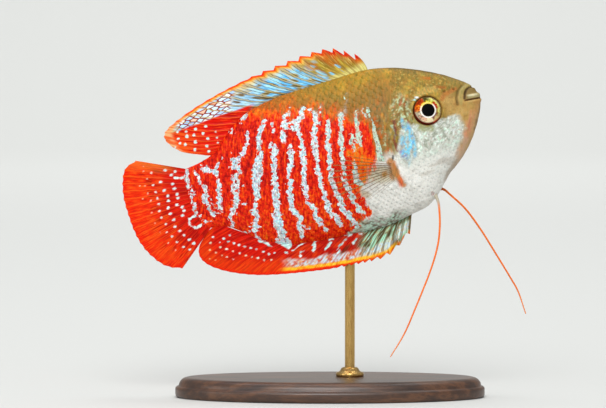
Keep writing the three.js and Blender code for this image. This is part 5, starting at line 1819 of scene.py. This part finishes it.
def caudal_fin():
    piece, told, back, up, ray, edge, out = median_fin(
        "caudal_fin", tail_root, tail_tips, tail_rays, rows=60, notch=tail_notch, bow=np.zeros_like,
        flutter=lambda share, out: 0.28 * out * np.sin(7 * share),
        half=thin_fin(0.3, 0.14, 0.05),
    )
    wave = grain(ray * 2.0, out * 0.45, 1.0, 92)
    dash = grain(ray * 2.8, out * 0.6, 1.0, 94)
    slow = grain(back, up, 1.5, 93)
    near = fade(out + 0.8 * slow, 4.0, 8.5)
    lit = ease(-dash + 0.3 * slow, 0.2, 0.6) * ease(out, 3, 7) * (1 - 0.6 * ease(out, 9, 12))
    upper_ray = fade(ray + 0.3 * wave, 0.4, 2.4)
    web = painted(
        (226, 40, 2),
        ((204, 14, 0), near * 0.85),
        ((150, 4, 0), ease(dash, 0.1, 0.5) * fade(out, 8, 12) * 0.7),
        ((236, 92, 16), lit * 0.5),
        ((232, 66, 8), ease(slow + 0.5 * dash, 0.1, 0.6) * ease(out, 6, 9) * 0.35),
        ((226, 28, 0), fade(edge + 0.3 * slow, 0.4, 1.8) * 0.8),
        ((244, 140, 56), upper_ray * ease(out, 2, 5) * 0.45),
    )
    streak_tone = painted((240, 96, 20), ((220, 32, 2), near))
    ray_tone = painted((240, 92, 18), ((222, 44, 6), near * 0.7))
    ray_share = 0.3 + 0.4 * ease(ray, -1, 3) * fade(ray, 8, 14)
    spot_depth = spots_depth(back, up, tail_spots, 1.3)
    spot_depth = np.maximum(spot_depth, strokes_depth(back + 0.15 * dash, up, tail_strokes))
    rooted = depth_in_bars(back, up) - 0.08 + 0.22 * grain(back, up, 0.5, 95)
    speck = grain(back, up, 0.32, 96)
    spot_tone = painted(
        (214, 236, 232),
        ((252, 190, 146), ease(out, 6.0, 10.0)),
        ((140, 196, 220), ease(speck, 0.1, 0.5) * (rooted > -0.2) * 0.8),
        ((150, 110, 110), ease(-speck, 0.45, 0.8) * (rooted > -0.2) * 0.7),
    )
    tell_fin(
        piece, told, web=web, streak_tone=streak_tone, ray_tone=ray_tone, ray_share=ray_share,
        outline=0.5 * fade(out, 7, 10), outline_tone=shade(160, 6, 0), cells=0,
        spot_depth=np.maximum(spot_depth, rooted), spot_tone=spot_tone,
    )


median_finish = fin_finish("fin_web")
dorsal_fin()
anal_fin()
caudal_fin()


# The pectoral fins are clear webs on fine rays, fanned back from a fleshy base on the shoulder.
# A maker casts them in clear resin, tints the rays, and lets their roots into the skin.
pectoral_roots = [(21.2, -5.9), (21.6, -7.6), (21.6, -9.4)]
pectoral_tips = [
    (29, -1.6), (32.3, -2.4), (34, -4.6), (34.1, -7.2), (32.4, -9.7), (29.6, -11.2), (26.4, -11.5),
]
pectoral_rays = 13
pectoral_spread = 1.7


def clear_fin_finish():
    fin = Finish("pectoral_web", roughness=0.35, Specular_IOR_Level=0.15)
    weave = fin.told("weave", "Vector")
    sway = fin.noise(weave, (0.8, 4.0, 1.0), 2)
    ray = fin.plus(fin.told("ray"), fin.spread(sway, 0.3, 0.7, -0.05, 0.05))
    from_ray = fin.zigzag(ray)
    joints = fin.zigzag(fin.times(fin.told("out"), 2.6))
    streaks = fin.noise(weave, (9.0, 3.0, 1.0), 3, 0.6)
    tone = fin.mix(fin.spread(streaks, 0.4, 0.65), shade(176, 142, 92), shade(140, 100, 54))
    tone = fin.mix(fin.spread(joints, 0.12, 0.04, 0.0, 0.4), tone, shade(112, 74, 36))
    fin.colour(fin.mix(fin.spread(from_ray, 0.03, 0.08), tone, shade(96, 60, 26)))
    line = fin.spread(from_ray, 0.15, 0.08)
    seen = fin.times(line, fin.told("ray_share"))
    fin.put(fin.shader.inputs["Alpha"], fin.plus(seen, fin.told("web_share")))
    fin.bump(line, 0.4, 0.00006)
    return fin.material


def pectoral_fin(side_name, side):
    def on_side(line, lift):
        def at(share):
            place = placed(line, share)
            out = flank_at(place[:, 0], place[:, 1]) + lift
            return np.stack([place[:, 0], side * out, place[:, 1]], 1)
        return at

    piece, told = fin_sheet(
        f"pectoral_fin_web_{side_name}", on_side(pectoral_roots, 0.3),
        on_side(pectoral_tips, 0.75 + pectoral_spread), pectoral_rays,
        rows=40, notch=lambda ray, share: 0.03 * np.sin(np.pi * (ray % 1)), bow=np.zeros_like,
        flutter=lambda share, out: side * 0.25 * out * (1 - out) * 4,
        half=thin_fin(0.16, 0.06, 0.04), finish=clear_finish, node_slot="pectoral_fin",
        node=f"pectoral_fin_{side_name}",
    )
    for known in ("ray", "out", "weave"):
        tell(piece, known, told[known])
    out = told["share"]
    low = ease(told["ray"], 6.5, 9.5)
    tell(piece, "ray_share", (0.7 - 0.3 * ease(out, 0.3, 0.95)) * (1 - 0.7 * low))
    tell(piece, "web_share", 0.02 + 0.05 * fade(out, 0, 0.2))


clear_finish = clear_fin_finish()
pectoral_fin("right", -1)
pectoral_fin("left", 1)


# Each pelvic fin is one long thread, a single jointed ray that the fish feels its way with. It is
# drawn to a fine point and tinted, and its root is let into the throat behind the gill covers.
thread_radii = [0.42, 0.26, 0.21, 0.2, 0.19, 0.18, 0.17, 0.15, 0.1]
thread_right = [
    (15, -1.3, -14.9), (14.9, -1.8, -16.6), (15.34, -2.2, -18.55), (16.34, -2.7, -21.5),
    (18.04, -3.2, -24.9), (21.08, -3.8, -29.05), (26.77, -4.9, -35.45), (30.2, -5.5, -39.05),
    (34.2, -6.2, -42.3),
]
thread_left = [
    (14.2, 1.4, -14.2), (13, 1.9, -14.75), (12, 2.4, -16.37), (10.1, 3.1, -20.07),
    (8.57, 4.1, -25.13), (7.27, 5, -30.97), (6.15, 5.5, -36.28), (5.62, 5.8, -39.47),
    (5.66, 6.1, -44.15),
]


def thread_finish():
    thread = Finish("pelvic_thread", roughness=0.4, Specular_IOR_Level=0.25)
    way = thread.told("way")
    place = thread.told("place", "Vector")
    mottle = thread.noise(place, 3.0, 3)
    warm = thread.times(thread.spread(mottle, 0.4, 0.65, 0.0, 0.5), thread.spread(way, 0.1, 0.26))
    tone = thread.mix(warm, thread.told("tone", "Color"), shade(206, 84, 16))
    joints = thread.zigzag(thread.times(way, 90.0))
    thread.colour(thread.mix(thread.spread(joints, 0.16, 0.05, 0.0, 0.55), tone, shade(176, 82, 24)))
    thread.bump(thread.spread(joints, 0.0, 0.2), 0.4, 0.00006)
    return thread.material


def pelvic_thread(side_name, line, root_tone):
    steps, sides = 200, 16
    way = np.linspace(0, 1, steps)
    middle = placed(line, way)
    radius = placed([(r, 0) for r in thread_radii], way)[:, 0]
    ahead = np.gradient(middle, axis=0)
    ahead /= np.linalg.norm(ahead, axis=1, keepdims=True)
    across = np.cross(ahead, (0.0, 1.0, 0.0))
    across /= np.linalg.norm(across, axis=1, keepdims=True)
    other = np.cross(across, ahead)
    turn = full_turn(sides)
    points = middle[:, None] + radius[:, None, None] * (
        np.cos(turn)[None, :, None] * across[:, None] + np.sin(turn)[None, :, None] * other[:, None]
    )
    points, faces = close_ends(points.reshape(-1, 3), sides)
    piece = make_piece(
        f"pelvic_thread_ray_{side_name}", to_stand(points), faces, thread_look, "pelvic_thread",
        [f"pelvic_thread_{side_name}"],
    )
    along_way = np.concatenate([np.repeat(way, sides), [0, 1]])
    tone = painted(
        (246, 122, 34),
        (root_tone, fade(along_way, 0.09, 0.26)),
        ((248, 160, 90), ease(along_way, 0.8, 1.0) * 0.7),
    )
    tell_colour(piece, "tone", tone)
    tell(piece, "way", along_way)
    tell(piece, "place", points)


thread_look = thread_finish()
pelvic_thread("right", thread_right, (182, 180, 160))
pelvic_thread("left", thread_left, (176, 84, 24))


# The floor is one pale sheet that curves up well behind the stand, and the light is plain and
# soft: a broad lamp above the camera, weaker ones from the left and behind, and an even surround.
def studio_floor():
    paper = Finish("studio_paper", roughness=0.8)
    paper.colour(shade(206, 207, 204))
    return paper.material


floor_mesh = bpy.data.meshes.new("studio_floor")
floor_half = 4
floor_front = -3.0
sweep_start = 1.5
sweep_radius = 1.2
sweep_top = 3.0
sweep = [(floor_front, 0.0), (sweep_start, 0.0)]
for turn in np.linspace(0.03, math.pi / 2, 40):
    sweep.append((sweep_start + sweep_radius * math.sin(turn), sweep_radius * (1 - math.cos(turn))))
sweep.append((sweep_start + sweep_radius, sweep_top))
floor_points = [(x, y, z) for y, z in sweep for x in (-floor_half, floor_half)]
floor_faces = [(2 * k, 2 * k + 1, 2 * k + 3, 2 * k + 2) for k in range(len(sweep) - 1)]
floor_mesh.from_pydata(floor_points, [], floor_faces)
floor_mesh.polygons.foreach_set("use_smooth", [True] * len(floor_faces))
floor_mesh.materials.append(studio_floor())
floor = bpy.data.objects.new("studio_floor", floor_mesh)
bpy.context.scene.collection.objects.link(floor)

world = bpy.data.worlds.new("studio")
world.use_nodes = True
world.node_tree.nodes["Background"].inputs["Color"].default_value = (*shade(232, 234, 236), 1)
world.node_tree.nodes["Background"].inputs["Strength"].default_value = 0.62
bpy.context.scene.world = world


def soft_lamp(name, place, target, size, power):
    lamp_data = bpy.data.lights.new(name, "AREA")
    lamp_data.shape = "DISK"
    lamp_data.size = size
    lamp_data.energy = power
    lamp = bpy.data.objects.new(name, lamp_data)
    lamp.location = place
    way = Vector(target) - Vector(place)
    lamp.rotation_euler = way.to_track_quat("-Z", "Y").to_euler()
    bpy.context.scene.collection.objects.link(lamp)


soft_lamp("lamp_above", (-0.05, -0.62, 0.52), (0, 0, 0.04), 0.45, 4.6)
soft_lamp("lamp_left", (-0.6, -0.35, 0.25), (0, 0, 0.04), 0.35, 0.7)
soft_lamp("lamp_behind", (0.0, 0.25, 0.9), (0, 0.75, 0.35), 0.8, 6)
soft_lamp("lamp_backdrop", (0.0, 1.3, 1.2), (0, 2.2, 0.2), 1.0, 12)

bpy.context.scene.view_settings.view_transform = "Standard"
